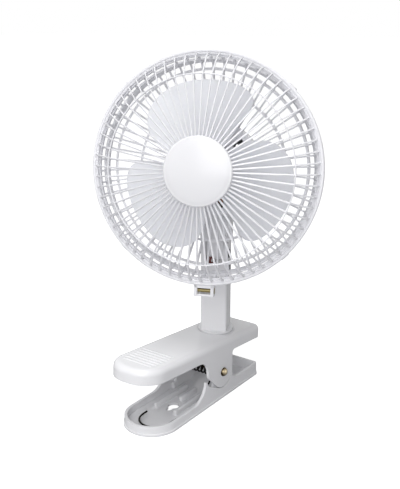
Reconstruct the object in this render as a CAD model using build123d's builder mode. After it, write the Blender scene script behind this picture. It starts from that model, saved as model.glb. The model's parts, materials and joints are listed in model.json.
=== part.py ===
from build123d import *

import os
from math import atan, cos, degrees, hypot, pi, radians, sin, sqrt, tan

# A small clip fan: a sprung two-lever clip carries a swivelling post, and the post's fork carries the
# fan head, which tilts on a cross bolt. Millimetres. +Z is up, +Y runs from the handles to the jaws,
# and the origin is on the flat underside of the lower lever, straight below the post's axis.

# ---------------------------------------------------------------- driving dimensions
# Working allowances
FUSE = 1.0                    # how far a rib or foot runs into what carries it
CUT_PAST = 10.0               # how far a cut runs past what it cuts
SEAM = 0.05                   # between pieces that are screwed together

# Lower lever: an open tray that the fan stands on
LIP_WIDTH = 48.2              # foot lip, over both sides
LIP_HEIGHT = 2.0
TRAY_WIDTH = 46.8             # side walls, outside
TRAY_WALL = 2.6
FLOOR = 2.2
HANDLE_REACH = 114.8          # from the post's axis to the handle end
JAW_REACH = 36.2              # from the post's axis to the jaw end
HANDLE_RIM = 8.2              # wall height along the handle
JAW_RIM = 11.4                # wall height along the jaw
HORN_RADIUS = 16.5            # the wall sweeps up to the hinge on this radius
HORN_FOOT_Y = -64.0
HORN_TOP = 24.0
HORN_CUT = 2.0                # the sweep ends this far short of upright
HORN_FRONT_RISE = 4.0

# Hinge between the levers
PIN_Y = -21.5
PIN_Z = 24.3
PIN_DIAMETER = 4.0
PIN_CLEARANCE = 0.05
EAR_RADIUS = 14.0
EAR_THICKNESS = 2.4
LUG_RADIUS = 8.5              # lower lever's hinge lugs, inside the ears
LUG_THICKNESS = 2.3
SIDE_GAP = 0.35
OPENING_ANGLE = 18.0          # how far the handles squeeze

# Upper lever: a ribbed channel, its top rising towards the handle
ARM_WIDTH = 46.8
ARM_TOP = 51.9                # top face at the post's axis
ARM_SLOPE = 4.7               # degrees
ARM_DEPTH = 12.2              # skirt, top face to lower edge
ARM_SKIN = 3.0
ARM_WALL = 2.4
ARM_EDGE_RADIUS = 5.2
ARM_HANDLE_REACH = 123.5
ARM_JAW_REACH = 40.2
RIDGE_COUNT = 7
RIDGE_PITCH = 4.4

# Swivel between upper lever and post
SEAT_Z = 52.0
SEAT_RADIUS = 16.6
SEAT_THICKNESS = 5.0
SPIGOT_DIAMETER = 14.0
FLANGE_RADIUS = 15.6
FLANGE_THICKNESS = 2.0
SWIVEL_GAP = 0.3
SWIVEL_REST = 23.5            # the post is turned this far from the handle's direction, degrees

# Post
POST_WIDTH = 23.0
POST_FRONT = 11.0             # from the axis to the front face
POST_BACK = 11.8
POST_WALL = 2.2
FORK_CENTRE_Z = 125.4         # centre of the fork's round top
SLOT_WIDTH = 15.6
SLOT_FLOOR_Z = 115.8
TILT_Z = 123.4
TILT_REST = 8.1               # the head looks up by this much, degrees

# Speed switch in the post's side
SWITCH_Z = 110.6
SWITCH_TRAVEL = 7.0

# Head, in its own frame: origin at the middle of the rim, z forward along the fan's axis, y up
HEAD_RISE = 74.9              # from the tilt axis up to the fan's axis
HEAD_REACH = 57.3             # from the tilt axis forward to the rim's plane
RIM_RADIUS = 92.4
CAP_RADIUS = 26.7
FRONT_RIB_COUNT = 64
REAR_RIB_COUNT = 58
FRONT_RIB_WIDTH = 1.1
REAR_RIB_WIDTH = 1.4
RIB_DEPTH = 2.2
RING_SIZE = 2.0               # section of the rings that tie the ribs
HUB_DISC_BACK_Z = 26.6        # disc in the middle of the front grille, that the cap sits on
HUB_DISC_FRONT_Z = 29.4
FRONT_BENDS = ((72.5, 22.2), (86.9, 7.6))           # radius and z at which the front ribs bend
REAR_BENDS = ((60.1, -27.4), (84.0, -17.4))         # and the rear ones
BACK_PLATE_Z = -31.0          # rear face of the rear grille's centre plate
BACK_PLATE_THICKNESS = 2.6
BACK_PLATE_RADIUS = 39.0

# Motor, inside the housing behind the rear grille
HOUSING_RADIUS = 37.0
HOUSING_WALL = 2.2
HOUSING_BACK_Z = -73.0
HOUSING_EDGE_RADIUS = 12.0
NECK_WIDTH = 26.0
NECK_DEPTH = 20.0
TONGUE_WIDTH = 15.0
TONGUE_RADIUS = 6.2
TONGUE_ROOT = 8.2             # half its depth where it leaves the neck
STACK_FRONT_Z = -45.0
STACK_LENGTH = 15.0
STACK_HALF_WIDTH = 20.0
STACK_TOP = 16.0
STACK_BOTTOM = -26.5
ROTOR_DIAMETER = 22.0
AIR_GAP = 0.35
SHAFT_DIAMETER = 4.0
BRACKET_STANDOFF = 8.0
BRACKET_THICKNESS = 2.0
MOTOR_SCREW_X = 16.0
HOUSING_SCREW_RADIUS = 30.0

# Impeller
BLADE_TIP_RADIUS = 71.5
BLADE_COUNT = 3
BLADE_THICKNESS = 1.7
BLADE_START = 11.0            # turn of the first blade from upright, degrees
HUB_RADIUS = 20.0
HUB_FRONT_Z = 9.0
HUB_BACK_Z = -25.0

os.makedirs("parts", exist_ok=True)

# ---------------------------------------------------------------- frames
arm = Plane(origin=(0, 0, ARM_TOP), x_dir=(1, 0, 0),
            z_dir=(0, sin(radians(ARM_SLOPE)), cos(radians(ARM_SLOPE))))
post_pose = Location((0, 0, 0), (0, 0, SWIVEL_REST))
post_frame = Plane(post_pose)                       # x to the fan's own side, -y the way it faces
post_face = Plane(post_pose * Location((0, 0, 0), (90, 0, 0)))      # x across, y up, z forward
post_flank = Plane(origin=(0, 0, 0), x_dir=post_frame.y_dir, z_dir=post_frame.x_dir)    # x back, y up
tilt_pose = post_pose * Location((0, 0, TILT_Z), (90 - TILT_REST, 0, 0))
head_pose = tilt_pose * Location((0, HEAD_RISE, HEAD_REACH))
head = Plane(head_pose)
head_half = Plane(head_pose * Location((0, 0, 0), (90, 0, 0)))      # x across, y forward
head_flank = Plane(head_pose * Location((0, 0, 0), (0, 90, 0)))     # x backward, y up, z to the side
head_axis = Axis(head.origin, head.z_dir)


def arm_underside(y):
    """Height of the upper lever's skirt edge at a place along the clip."""
    return ARM_TOP - ARM_DEPTH / cos(radians(ARM_SLOPE)) - y * tan(radians(ARM_SLOPE))


def dome_fall(radius, height):
    """How far a round dome falls from its crown by half of its radius."""
    sphere = (height ** 2 + radius ** 2) / (2 * height)
    return sphere - sqrt(sphere ** 2 - radius ** 2 / 4)


def save(part, name):
    """Label a finished piece and write it as its own file."""
    part.label = name
    export_step(part, f"parts/{name}.step")


# ---------------------------------------------------------------- side shapes of the two levers
# Ear of the upper lever, seen from the side: round below the pin, flaring up into the skirt
EAR_HEEL = (-43.5, 26.5)
EAR_HEEL_RADIUS = 7.0
ARCH_Y = -45.4                # where the ear's rear edge meets the skirt
ARCH_RADIUS = 13.0
MOUTH_RADIUS = 3.5
EAR_ROOT = 3.0                # the ear runs this far up into the skirt
EAR_ROOT_LENGTH = 8.0         # and its root this far on towards the jaw
ear_front_y = PIN_Y + EAR_RADIUS
ear_root_y = ear_front_y + EAR_ROOT_LENGTH
ear_tangent = (PIN_Y - EAR_RADIUS * sin(radians(45)), PIN_Z - EAR_RADIUS * cos(radians(45)))


def skirt_point(y, rise=0.0):
    """A point on the skirt's lower edge, or that far above it."""
    return (y, arm_underside(y) + rise)


def near(vertices, point):
    """The vertices of a side sketch that lie at a point."""
    return [v for v in vertices if hypot(v.X - point[0], v.Y - point[1]) < 0.1]


with BuildSketch() as ear_shape:
    with BuildLine():
        Polyline(ear_tangent, EAR_HEEL, skirt_point(ARCH_Y), skirt_point(HORN_FOOT_Y),
                 skirt_point(HORN_FOOT_Y, EAR_ROOT), skirt_point(ear_root_y, EAR_ROOT),
                 skirt_point(ear_root_y), skirt_point(ear_front_y), (ear_front_y, PIN_Z))
        ThreePointArc((ear_front_y, PIN_Z), (PIN_Y, PIN_Z - EAR_RADIUS), ear_tangent)
    make_face()
    fillet(near(ear_shape.vertices(), EAR_HEEL), EAR_HEEL_RADIUS)
    fillet(near(ear_shape.vertices(), skirt_point(ARCH_Y)), ARCH_RADIUS)
    fillet(near(ear_shape.vertices(), skirt_point(ear_front_y)), MOUTH_RADIUS)

# The room that the ear needs in the lower lever's walls while the handles are squeezed
RECESS_STEPS = 4
RECESS_GAP = 0.7
with BuildSketch() as ear_room:
    for step in range(RECESS_STEPS):
        turn = OPENING_ANGLE * step / (RECESS_STEPS - 1)
        add(ear_shape.sketch.rotate(Axis((PIN_Y, PIN_Z, 0), (0, 0, 1)), turn))
    offset(amount=RECESS_GAP, kind=Kind.INTERSECTION)

# Outline of the lower lever's walls, seen from the side
with BuildSketch() as wall_shape:
    with BuildLine():
        horn_y = HORN_FOOT_Y + HORN_RADIUS
        Polyline((HORN_FOOT_Y, HANDLE_RIM), (-HANDLE_REACH, HANDLE_RIM), (-HANDLE_REACH, 0),
                 (JAW_REACH, 0), (JAW_REACH, JAW_RIM), (0, JAW_RIM), (ear_front_y, JAW_RIM + HORN_FRONT_RISE),
                 (ear_front_y, HORN_TOP), (horn_y, HORN_TOP), (horn_y, HANDLE_RIM + HORN_RADIUS - HORN_CUT))
        ThreePointArc((horn_y, HANDLE_RIM + HORN_RADIUS - HORN_CUT),
                      (HORN_FOOT_Y + HORN_RADIUS * sin(radians(45)),
                       HANDLE_RIM + HORN_RADIUS * (1 - cos(radians(45)))),
                      (HORN_FOOT_Y, HANDLE_RIM))
    make_face()

# ---------------------------------------------------------------- lower lever
JAW_CORNER = 4.0
KEYHOLE_Y = -62.5
KEYHOLE_DIAMETER = 10.0
KEYHOLE_SLOT = 5.0
KEYHOLE_LENGTH = 7.0          # from the round hole's centre to the slot's end centre
RAIL_X = 9.5
RAIL_WIDTH = 2.2
RAIL_HEIGHT = 3.6
RAIL_BACK_Y = -57.0
RAIL_FRONT_Y = -31.0
LUG_FOOT_BACK_Y = -38.0
LUG_FOOT_FRONT_Y = -8.0
LUG_FOOT_HEIGHT = 8.0
lip_inset = (LIP_WIDTH - TRAY_WIDTH) / 2
lug_outside = ARM_WIDTH / 2 - EAR_THICKNESS - SIDE_GAP
lug_inside = lug_outside - LUG_THICKNESS
tray_inside = TRAY_WIDTH / 2 - TRAY_WALL


def tray_outline(inset):
    """The lower lever's plan, round at the handle and square at the jaw."""
    half = LIP_WIDTH / 2 - inset
    centre_y = LIP_WIDTH / 2 - HANDLE_REACH
    jaw_y = JAW_REACH - inset
    with BuildSketch() as outline:
        with BuildLine():
            Polyline((-half, centre_y), (-half, jaw_y), (half, jaw_y), (half, centre_y))
            ThreePointArc((half, centre_y), (0, centre_y - half), (-half, centre_y))
        make_face()
        fillet(outline.vertices().group_by(Axis.Y)[-1], JAW_CORNER - inset)
    return outline.sketch


with BuildPart() as lower_lever:
    with BuildSketch():
        add(tray_outline(lip_inset))
    extrude(amount=HORN_TOP + FUSE)
    with BuildSketch(Plane.YZ):
        add(wall_shape.sketch)
    extrude(amount=LIP_WIDTH, both=True, mode=Mode.INTERSECT)
    with BuildSketch(Plane.XY.offset(FLOOR)):
        add(tray_outline(lip_inset + TRAY_WALL))
    extrude(amount=HORN_TOP, mode=Mode.SUBTRACT)
    with BuildSketch(Plane.YZ.offset(lug_outside), Plane.YZ.offset(-LIP_WIDTH)):
        add(ear_room.sketch)
    extrude(amount=LIP_WIDTH - lug_outside, mode=Mode.SUBTRACT)
    with BuildSketch():
        add(tray_outline(0))
    extrude(amount=LIP_HEIGHT)
    # Hinge lugs inside the ears, and the foot that ties each to its wall below the ear
    with BuildSketch(Plane.YZ.offset(lug_inside), Plane.YZ.offset(-lug_outside)):
        with Locations((PIN_Y, PIN_Z)):
            Circle(LUG_RADIUS)
        with BuildLine():
            Polyline((LUG_FOOT_BACK_Y, FUSE), (PIN_Y - LUG_RADIUS, PIN_Z), (PIN_Y + LUG_RADIUS, PIN_Z),
                     (LUG_FOOT_FRONT_Y, FUSE), close=True)
        make_face()
    extrude(amount=LUG_THICKNESS)
    with BuildSketch(Plane.XY.offset(FUSE)):
        with Locations((0, (LUG_FOOT_BACK_Y + LUG_FOOT_FRONT_Y) / 2)):
            with GridLocations(lug_inside + tray_inside + FUSE, 0, 2, 1):
                Rectangle(tray_inside + FUSE - lug_inside, LUG_FOOT_FRONT_Y - LUG_FOOT_BACK_Y)
    extrude(amount=LUG_FOOT_HEIGHT - FUSE)
    # Guide rails on the floor
    with BuildSketch(Plane.XY.offset(FUSE)):
        with Locations((0, (RAIL_BACK_Y + RAIL_FRONT_Y) / 2)):
            with GridLocations(2 * RAIL_X, 0, 2, 1):
                Rectangle(RAIL_WIDTH, RAIL_FRONT_Y - RAIL_BACK_Y)
    extrude(amount=FLOOR - FUSE + RAIL_HEIGHT)
    with BuildSketch(Plane.YZ.offset(-LIP_WIDTH)):
        with Locations((PIN_Y, PIN_Z)):
            Circle(PIN_DIAMETER / 2)
    extrude(amount=2 * LIP_WIDTH, mode=Mode.SUBTRACT)
    with BuildSketch():
        with Locations((0, KEYHOLE_Y)):
            Circle(KEYHOLE_DIAMETER / 2)
        with Locations((0, KEYHOLE_Y - KEYHOLE_LENGTH / 2)):
            SlotCenterToCenter(KEYHOLE_LENGTH, KEYHOLE_SLOT, rotation=90)
    extrude(amount=FLOOR, mode=Mode.SUBTRACT)
save(lower_lever.part, "lower_lever")

# ---------------------------------------------------------------- upper lever
ARM_END_BULGE = 3.0
ARM_HANDLE_CORNER = 21.0
ARM_JAW_CORNER = 5.5
RIDGE_FIRST_Y = -82.0
RIDGE_RADIUS = 1.6
RIDGE_PROUD = 0.35
RIDGE_HALF_LENGTH = 15.5
PAD_CENTRE_Y = -94.0
PAD_RADIUS = 20.0


def arm_outline(inset):
    """The upper lever's plan, bowed and well rounded at the handle and square at the jaw."""
    half = ARM_WIDTH / 2 - inset
    handle_y = ARM_END_BULGE - ARM_HANDLE_REACH + inset
    jaw_y = ARM_JAW_REACH - inset
    with BuildSketch() as outline:
        with BuildLine():
            Polyline((-half, handle_y), (-half, jaw_y), (half, jaw_y), (half, handle_y))
            ThreePointArc((half, handle_y), (0, handle_y - ARM_END_BULGE), (-half, handle_y))
        make_face()
        fillet(outline.vertices().group_by(Axis.Y)[-1], ARM_JAW_CORNER - inset)
        fillet(outline.vertices().group_by(Axis.Y)[0], ARM_HANDLE_CORNER - inset)
    return outline.sketch


with BuildPart() as upper_lever:
    with BuildSketch(arm):
        add(arm_outline(0))
    extrude(amount=-ARM_DEPTH)
    fillet(upper_lever.faces().filter_by(arm).sort_by(Axis.Z)[-1].edges(), ARM_EDGE_RADIUS)
    with BuildSketch(arm.offset(-ARM_DEPTH)):
        add(arm_outline(ARM_WALL))
    extrude(amount=ARM_DEPTH - ARM_SKIN, mode=Mode.SUBTRACT)
    # Ears that hang outside the lower lever's lugs
    with BuildSketch(Plane.YZ.offset(ARM_WIDTH / 2 - EAR_THICKNESS), Plane.YZ.offset(-ARM_WIDTH / 2)):
        add(ear_shape.sketch)
    extrude(amount=EAR_THICKNESS)
    # Level seat for the swivelling post
    with BuildSketch(Plane.XY.offset(SEAT_Z - SEAT_THICKNESS)):
        Circle(SEAT_RADIUS)
    extrude(amount=SEAT_THICKNESS)
    with BuildSketch(Plane.XY.offset(SEAT_Z)):
        Circle(SEAT_RADIUS)
    extrude(amount=CUT_PAST, mode=Mode.SUBTRACT)
    with BuildSketch(Plane.XY.offset(SEAT_Z)):
        Circle(SPIGOT_DIAMETER / 2 + PIN_CLEARANCE)
    extrude(amount=-CUT_PAST, mode=Mode.SUBTRACT)
    # Grip ridges across the thumb pad
    for ridge in range(RIDGE_COUNT):
        ridge_y = RIDGE_FIRST_Y - ridge * RIDGE_PITCH
        ridge_z = ARM_TOP - ridge_y * tan(radians(ARM_SLOPE)) + RIDGE_PROUD - RIDGE_RADIUS
        past_middle = max(0, PAD_CENTRE_Y - ridge_y)
        half_length = min(RIDGE_HALF_LENGTH, sqrt(PAD_RADIUS ** 2 - past_middle ** 2))
        with BuildSketch(Plane.YZ):
            with Locations((ridge_y, ridge_z)):
                Circle(RIDGE_RADIUS)
        extrude(amount=half_length, both=True)
    with BuildSketch(Plane.YZ.offset(-ARM_WIDTH)):
        with Locations((PIN_Y, PIN_Z)):
            Circle(PIN_DIAMETER / 2 + PIN_CLEARANCE)
    extrude(amount=2 * ARM_WIDTH, mode=Mode.SUBTRACT)
save(upper_lever.part, "upper_lever")

# ---------------------------------------------------------------- pivot pin: a rivet through ears and lugs
PIN_HEAD_RADIUS = 4.2
PIN_HEAD_HEIGHT = 2.1
PIN_TAIL_RADIUS = 3.3
PIN_TAIL_HEIGHT = 1.1
pin_axis = Axis((0, PIN_Y, PIN_Z), (1, 0, 0))
pin_half = Plane(origin=(0, PIN_Y, PIN_Z), x_dir=(1, 0, 0), z_dir=(0, 0, 1))
ear_face = ARM_WIDTH / 2
pin_tail = ear_face + PIN_TAIL_HEIGHT
pin_crown = ear_face + PIN_HEAD_HEIGHT

with BuildPart() as pivot_pin:
    with BuildSketch(pin_half):
        with BuildLine():
            ThreePointArc((-pin_tail, 0),
                          (dome_fall(PIN_TAIL_RADIUS, PIN_TAIL_HEIGHT) - pin_tail, PIN_TAIL_RADIUS / 2),
                          (-ear_face, PIN_TAIL_RADIUS))
            Polyline((-ear_face, PIN_TAIL_RADIUS), (-ear_face, PIN_DIAMETER / 2),
                     (ear_face, PIN_DIAMETER / 2), (ear_face, PIN_HEAD_RADIUS))
            ThreePointArc((ear_face, PIN_HEAD_RADIUS),
                          (pin_crown - dome_fall(PIN_HEAD_RADIUS, PIN_HEAD_HEIGHT), PIN_HEAD_RADIUS / 2),
                          (pin_crown, 0))
            Line((pin_crown, 0), (-pin_tail, 0))
        make_face()
    revolve(axis=pin_axis)
save(pivot_pin.part, "pivot_pin")

# ---------------------------------------------------------------- clip spring
# One wire: an eye under the lower handle, a coil round the pivot pin, an eye under the upper handle
WIRE_DIAMETER = 1.6
COIL_RADIUS = 6.0             # wire's middle line
COIL_TURNS = 7.5
COIL_PITCH = 3.8
WIRE_REST = 0.2               # from the wire to the plastic that it bears on
LEG_X = 16.6
EYE_RADIUS = 13.5
LOWER_EYE_Y = -91.0
LOWER_TAIL_Y = -85.0
LOWER_LEG_Y = -56.0
UPPER_EYE_Y = -84.0
UPPER_TAIL_Y = -78.0
UPPER_LEG_Y = -60.0
GAP_SAMPLES = 900
coil_start_x = COIL_TURNS * COIL_PITCH / 2
lower_leg_z = FLOOR + WIRE_REST + WIRE_DIAMETER / 2
arm_slant = Vector(0, -cos(radians(ARM_SLOPE)), sin(radians(ARM_SLOPE)))


def biarc(start, start_way, end, end_way):
    """Two arcs that leave one point and reach another, each in the way given there."""
    chord = end - start
    ways = start_way + end_way
    along = chord.dot(ways)
    bend = 2 * (1 - start_way.dot(end_way))
    reach = chord.dot(chord) / (sqrt(along ** 2 + bend * chord.dot(chord)) + along)
    before = start + start_way * reach
    after = end - end_way * reach
    middle = (before + after) * 0.5
    TangentArc(start, middle, tangent=start_way)
    TangentArc(middle, end, tangent=(after - before).normalized())


def coil_point(half_turns):
    """A point on the coil's middle line, counted in half turns from the bottom."""
    angle = pi * (half_turns - 0.5)
    return Vector(coil_start_x - COIL_PITCH * half_turns / 2,
                  PIN_Y + COIL_RADIUS * cos(angle), PIN_Z + COIL_RADIUS * sin(angle))


def coil_way(half_turns):
    """The way in which the coil runs there."""
    angle = pi * (half_turns - 0.5)
    return Vector(-COIL_PITCH / 2 / pi, -COIL_RADIUS * sin(angle), COIL_RADIUS * cos(angle)).normalized()


def under_arm(x, y):
    """A point on the spring's leg under the upper lever's skin."""
    drop = (ARM_SKIN + WIRE_REST + WIRE_DIAMETER / 2) / cos(radians(ARM_SLOPE))
    return Vector(x, y, ARM_TOP - y * tan(radians(ARM_SLOPE)) - drop)


with BuildPart() as clip_spring:
    with BuildLine() as wire:
        tail = Vector(LEG_X - 2 * EYE_RADIUS, LOWER_TAIL_Y, lower_leg_z)
        eye_in = Vector(LEG_X - 2 * EYE_RADIUS, LOWER_EYE_Y, lower_leg_z)
        eye_out = Vector(LEG_X, LOWER_EYE_Y, lower_leg_z)
        leg_end = Vector(LEG_X, LOWER_LEG_Y, lower_leg_z)
        Line(tail, eye_in)
        biarc(eye_in, Vector(0, -1, 0), eye_out, Vector(0, 1, 0))
        Line(eye_out, leg_end)
        biarc(leg_end, Vector(0, 1, 0), coil_point(0), coil_way(0))
        for half_turn in range(round(2 * COIL_TURNS)):
            biarc(coil_point(half_turn), coil_way(half_turn),
                  coil_point(half_turn + 1), coil_way(half_turn + 1))
        upper_start = coil_point(2 * COIL_TURNS)
        biarc(upper_start, coil_way(2 * COIL_TURNS), under_arm(-LEG_X, UPPER_LEG_Y), arm_slant)
        Line(under_arm(-LEG_X, UPPER_LEG_Y), under_arm(-LEG_X, UPPER_EYE_Y))
        biarc(under_arm(-LEG_X, UPPER_EYE_Y), arm_slant,
              under_arm(2 * EYE_RADIUS - LEG_X, UPPER_EYE_Y), arm_slant * -1)
        Line(under_arm(2 * EYE_RADIUS - LEG_X, UPPER_EYE_Y), under_arm(2 * EYE_RADIUS - LEG_X, UPPER_TAIL_Y))
    with BuildSketch(Plane(origin=tail, z_dir=(0, -1, 0))):
        Circle(WIRE_DIAMETER / 2)
    sweep(path=wire.wires()[0])
save(clip_spring.part, "clip_spring")

spring_wire = wire.wires()[0]
apart = pi * COIL_RADIUS / spring_wire.length         # half a turn, as a share of the wire
samples = [spring_wire.position_at(k / GAP_SAMPLES) for k in range(GAP_SAMPLES + 1)]
skip = round(apart * GAP_SAMPLES)
least = min((samples[j] - samples[i]).length
            for i in range(GAP_SAMPLES + 1) for j in range(i + skip, GAP_SAMPLES + 1))
print("clip spring, least gap to itself:", round(least - WIRE_DIAMETER, 2), "mm")

# ---------------------------------------------------------------- post shell
SPIGOT_PROUD = 0.4            # how far the spigot comes out below the seat
SWIVEL_BORE = 4.0
SWIVEL_BORE_DEPTH = 14.0
COLUMN_CORNER = 1.6
CAVITY_BOTTOM = 57.0
CAVITY_TOP = SLOT_FLOOR_Z - POST_WALL
BOSS_DIAMETER = 6.4
BOSS_HEIGHTS = (68.0, 98.0)
PANEL_THICKNESS = 1.8
PANEL_GAP = 0.2
SELF_TAP_DIAMETER = 2.6
BOLT_DIAMETER = 4.0
BOLT_HEAD_DIAMETER = 8.0
BOLT_HEAD_HEIGHT = 2.8
BOLT_RECESS = 2.0
NUT_FLATS = 7.0
NUT_HEIGHT = 2.2
NUT_ROOM = 0.2
SWITCH_OPENING = (16.0, 7.0)  # along the post's depth, along its height
WIRE_SLOT = (5.0, 3.0)        # hole in the fork's floor for the leads
flange_z = SEAT_Z + SWIVEL_GAP
spigot_end_z = SEAT_Z - SEAT_THICKNESS - SPIGOT_PROUD
column_y = (POST_BACK - POST_FRONT) / 2
column_depth = POST_BACK + POST_FRONT
fork_radius = column_depth / 2
panel_width = POST_WIDTH - 2 * POST_WALL - 2 * PANEL_GAP


def column_outline(inset):
    """The post's plan, or the same drawn in by a wall."""
    with BuildSketch() as outline:
        with Locations((0, column_y)):
            RectangleRounded(POST_WIDTH - 2 * inset, column_depth - 2 * inset, COLUMN_CORNER - inset / 2)
    return outline.sketch


with BuildPart() as post_shell:
    with BuildSketch(post_frame.offset(flange_z)):
        add(column_outline(0))
    extrude(amount=FORK_CENTRE_Z + fork_radius - flange_z)
    # Round tops of the fork's two prongs
    with BuildSketch(post_flank):
        with Locations((column_y, (flange_z + FORK_CENTRE_Z) / 2)):
            Rectangle(column_depth, FORK_CENTRE_Z - flange_z)
        with Locations((column_y, FORK_CENTRE_Z)):
            Circle(fork_radius)
    extrude(amount=POST_WIDTH, both=True, mode=Mode.INTERSECT)
    with BuildSketch(post_frame.offset(SLOT_FLOOR_Z)):
        Rectangle(SLOT_WIDTH, 2 * column_depth)
    extrude(amount=2 * column_depth, mode=Mode.SUBTRACT)
    # Hollow, open at the back
    with BuildSketch(post_frame.offset(CAVITY_BOTTOM)):
        with Locations((0, column_y + POST_WALL / 2)):
            Rectangle(POST_WIDTH - 2 * POST_WALL, column_depth - POST_WALL)
    extrude(amount=CAVITY_TOP - CAVITY_BOTTOM, mode=Mode.SUBTRACT)
    # Foot flange and the spigot that turns in the upper lever's seat
    with BuildSketch(post_frame.offset(flange_z)):
        Circle(FLANGE_RADIUS)
    extrude(amount=FLANGE_THICKNESS)
    flange_rim = post_shell.edges().filter_by(GeomType.CIRCLE).group_by(SortBy.RADIUS)[-1]
    fillet(flange_rim.sort_by(Axis.Z)[-1:], FLANGE_THICKNESS / 2)
    with BuildSketch(post_frame.offset(spigot_end_z)):
        Circle(SPIGOT_DIAMETER / 2)
    extrude(amount=flange_z - spigot_end_z + FUSE)
    with BuildSketch(post_frame.offset(spigot_end_z)):
        Circle(SWIVEL_BORE / 2)
    extrude(amount=SWIVEL_BORE_DEPTH, mode=Mode.SUBTRACT)
    # Screw bosses for the back panel
    with BuildSketch(post_face.offset(-(POST_BACK - PANEL_THICKNESS))):
        with Locations(*[(0, height) for height in BOSS_HEIGHTS]):
            Circle(BOSS_DIAMETER / 2)
    extrude(amount=column_depth - PANEL_THICKNESS - POST_WALL / 2)
    with BuildSketch(post_face.offset(-(POST_BACK - PANEL_THICKNESS))):
        with Locations(*[(0, height) for height in BOSS_HEIGHTS]):
            Circle(SELF_TAP_DIAMETER / 2)
    extrude(amount=column_depth - PANEL_THICKNESS - POST_WALL, mode=Mode.SUBTRACT)
    # Tilt bolt: bore, head recess on the right, nut recess on the left
    with BuildSketch(post_flank.offset(-POST_WIDTH)):
        with Locations((0, TILT_Z)):
            Circle(BOLT_DIAMETER / 2)
    extrude(amount=2 * POST_WIDTH, mode=Mode.SUBTRACT)
    with BuildSketch(post_flank.offset(POST_WIDTH / 2 - BOLT_RECESS)):
        with Locations((0, TILT_Z)):
            Circle(BOLT_HEAD_DIAMETER / 2 + NUT_ROOM)
    extrude(amount=CUT_PAST, mode=Mode.SUBTRACT)
    with BuildSketch(post_flank.offset(-POST_WIDTH / 2 + NUT_HEIGHT)):
        with Locations((0, TILT_Z)):
            RegularPolygon(NUT_FLATS / 2 + NUT_ROOM, 6, major_radius=False)
    extrude(amount=-CUT_PAST, mode=Mode.SUBTRACT)
    # Switch window in the right side, lead hole in the fork's floor
    with BuildSketch(post_flank.offset(POST_WIDTH / 2 - POST_WALL)):
        with Locations((0, SWITCH_Z)):
            Rectangle(*SWITCH_OPENING)
    extrude(amount=CUT_PAST, mode=Mode.SUBTRACT)
    with BuildSketch(post_frame.offset(CAVITY_TOP)):
        Rectangle(WIRE_SLOT[1], WIRE_SLOT[0])
    extrude(amount=POST_WALL, mode=Mode.SUBTRACT)
save(post_shell.part, "post_shell")

# ---------------------------------------------------------------- back panel of the post, and its screws
PANEL_HEAD_DIAMETER = 5.0
PANEL_HEAD_HEIGHT = 1.4
PANEL_SCREW_LENGTH = 10.0
GROMMET_Z = 82.0
GROMMET_HOLE = 8.0
panel_outside = post_face.offset(-POST_BACK)

with BuildPart() as post_back:
    with BuildSketch(panel_outside):
        with Locations((0, (CAVITY_BOTTOM + CAVITY_TOP) / 2)):
            Rectangle(panel_width, CAVITY_TOP - CAVITY_BOTTOM - 2 * PANEL_GAP)
    extrude(amount=PANEL_THICKNESS)
    with BuildSketch(panel_outside):
        with Locations((0, GROMMET_Z)):
            Circle(GROMMET_HOLE / 2)
        with Locations(*[(0, height) for height in BOSS_HEIGHTS]):
            Circle(SELF_TAP_DIAMETER / 2)
    extrude(amount=PANEL_THICKNESS, mode=Mode.SUBTRACT)
    with BuildSketch(panel_outside):
        with Locations(*[(0, height) for height in BOSS_HEIGHTS]):
            Circle(PANEL_HEAD_DIAMETER / 2)
    extrude(amount=PANEL_HEAD_HEIGHT, mode=Mode.SUBTRACT)
save(post_back.part, "post_back")

with BuildPart() as post_screws:
    with BuildSketch(panel_outside):
        with Locations(*[(0, height) for height in BOSS_HEIGHTS]):
            Circle(PANEL_HEAD_DIAMETER / 2)
    extrude(amount=PANEL_HEAD_HEIGHT)
    with BuildSketch(panel_outside):
        with Locations(*[(0, height) for height in BOSS_HEIGHTS]):
            Circle(SELF_TAP_DIAMETER / 2)
    extrude(amount=PANEL_SCREW_LENGTH)
save(post_screws.part, "post_screws")

# ---------------------------------------------------------------- cord grommet: the inlet for the mains cord
GROMMET_BORE = 5.4
GROMMET_FLANGE = 10.5
GROMMET_FLANGE_THICKNESS = 1.4
GROMMET_NOSE = 4.0            # how far the sleeve stands out behind
GROMMET_NOSE_DIAMETER = 8.4
GROMMET_TAPER = 6.0           # degrees

with BuildPart() as cord_grommet:
    with BuildSketch(panel_outside):
        with Locations((0, GROMMET_Z)):
            Circle(GROMMET_HOLE / 2)
    extrude(amount=PANEL_THICKNESS)
    with BuildSketch(panel_outside.offset(PANEL_THICKNESS), panel_outside.offset(-GROMMET_FLANGE_THICKNESS)):
        with Locations((0, GROMMET_Z)):
            Circle(GROMMET_FLANGE / 2)
    extrude(amount=GROMMET_FLANGE_THICKNESS)
    with BuildSketch(panel_outside):
        with Locations((0, GROMMET_Z)):
            Circle(GROMMET_NOSE_DIAMETER / 2)
    extrude(amount=-GROMMET_FLANGE_THICKNESS - GROMMET_NOSE, taper=GROMMET_TAPER)
    with BuildSketch(panel_outside.offset(CUT_PAST)):
        with Locations((0, GROMMET_Z)):
            Circle(GROMMET_BORE / 2)
    extrude(amount=-2 * CUT_PAST, mode=Mode.SUBTRACT)
save(cord_grommet.part, "cord_grommet")

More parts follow.
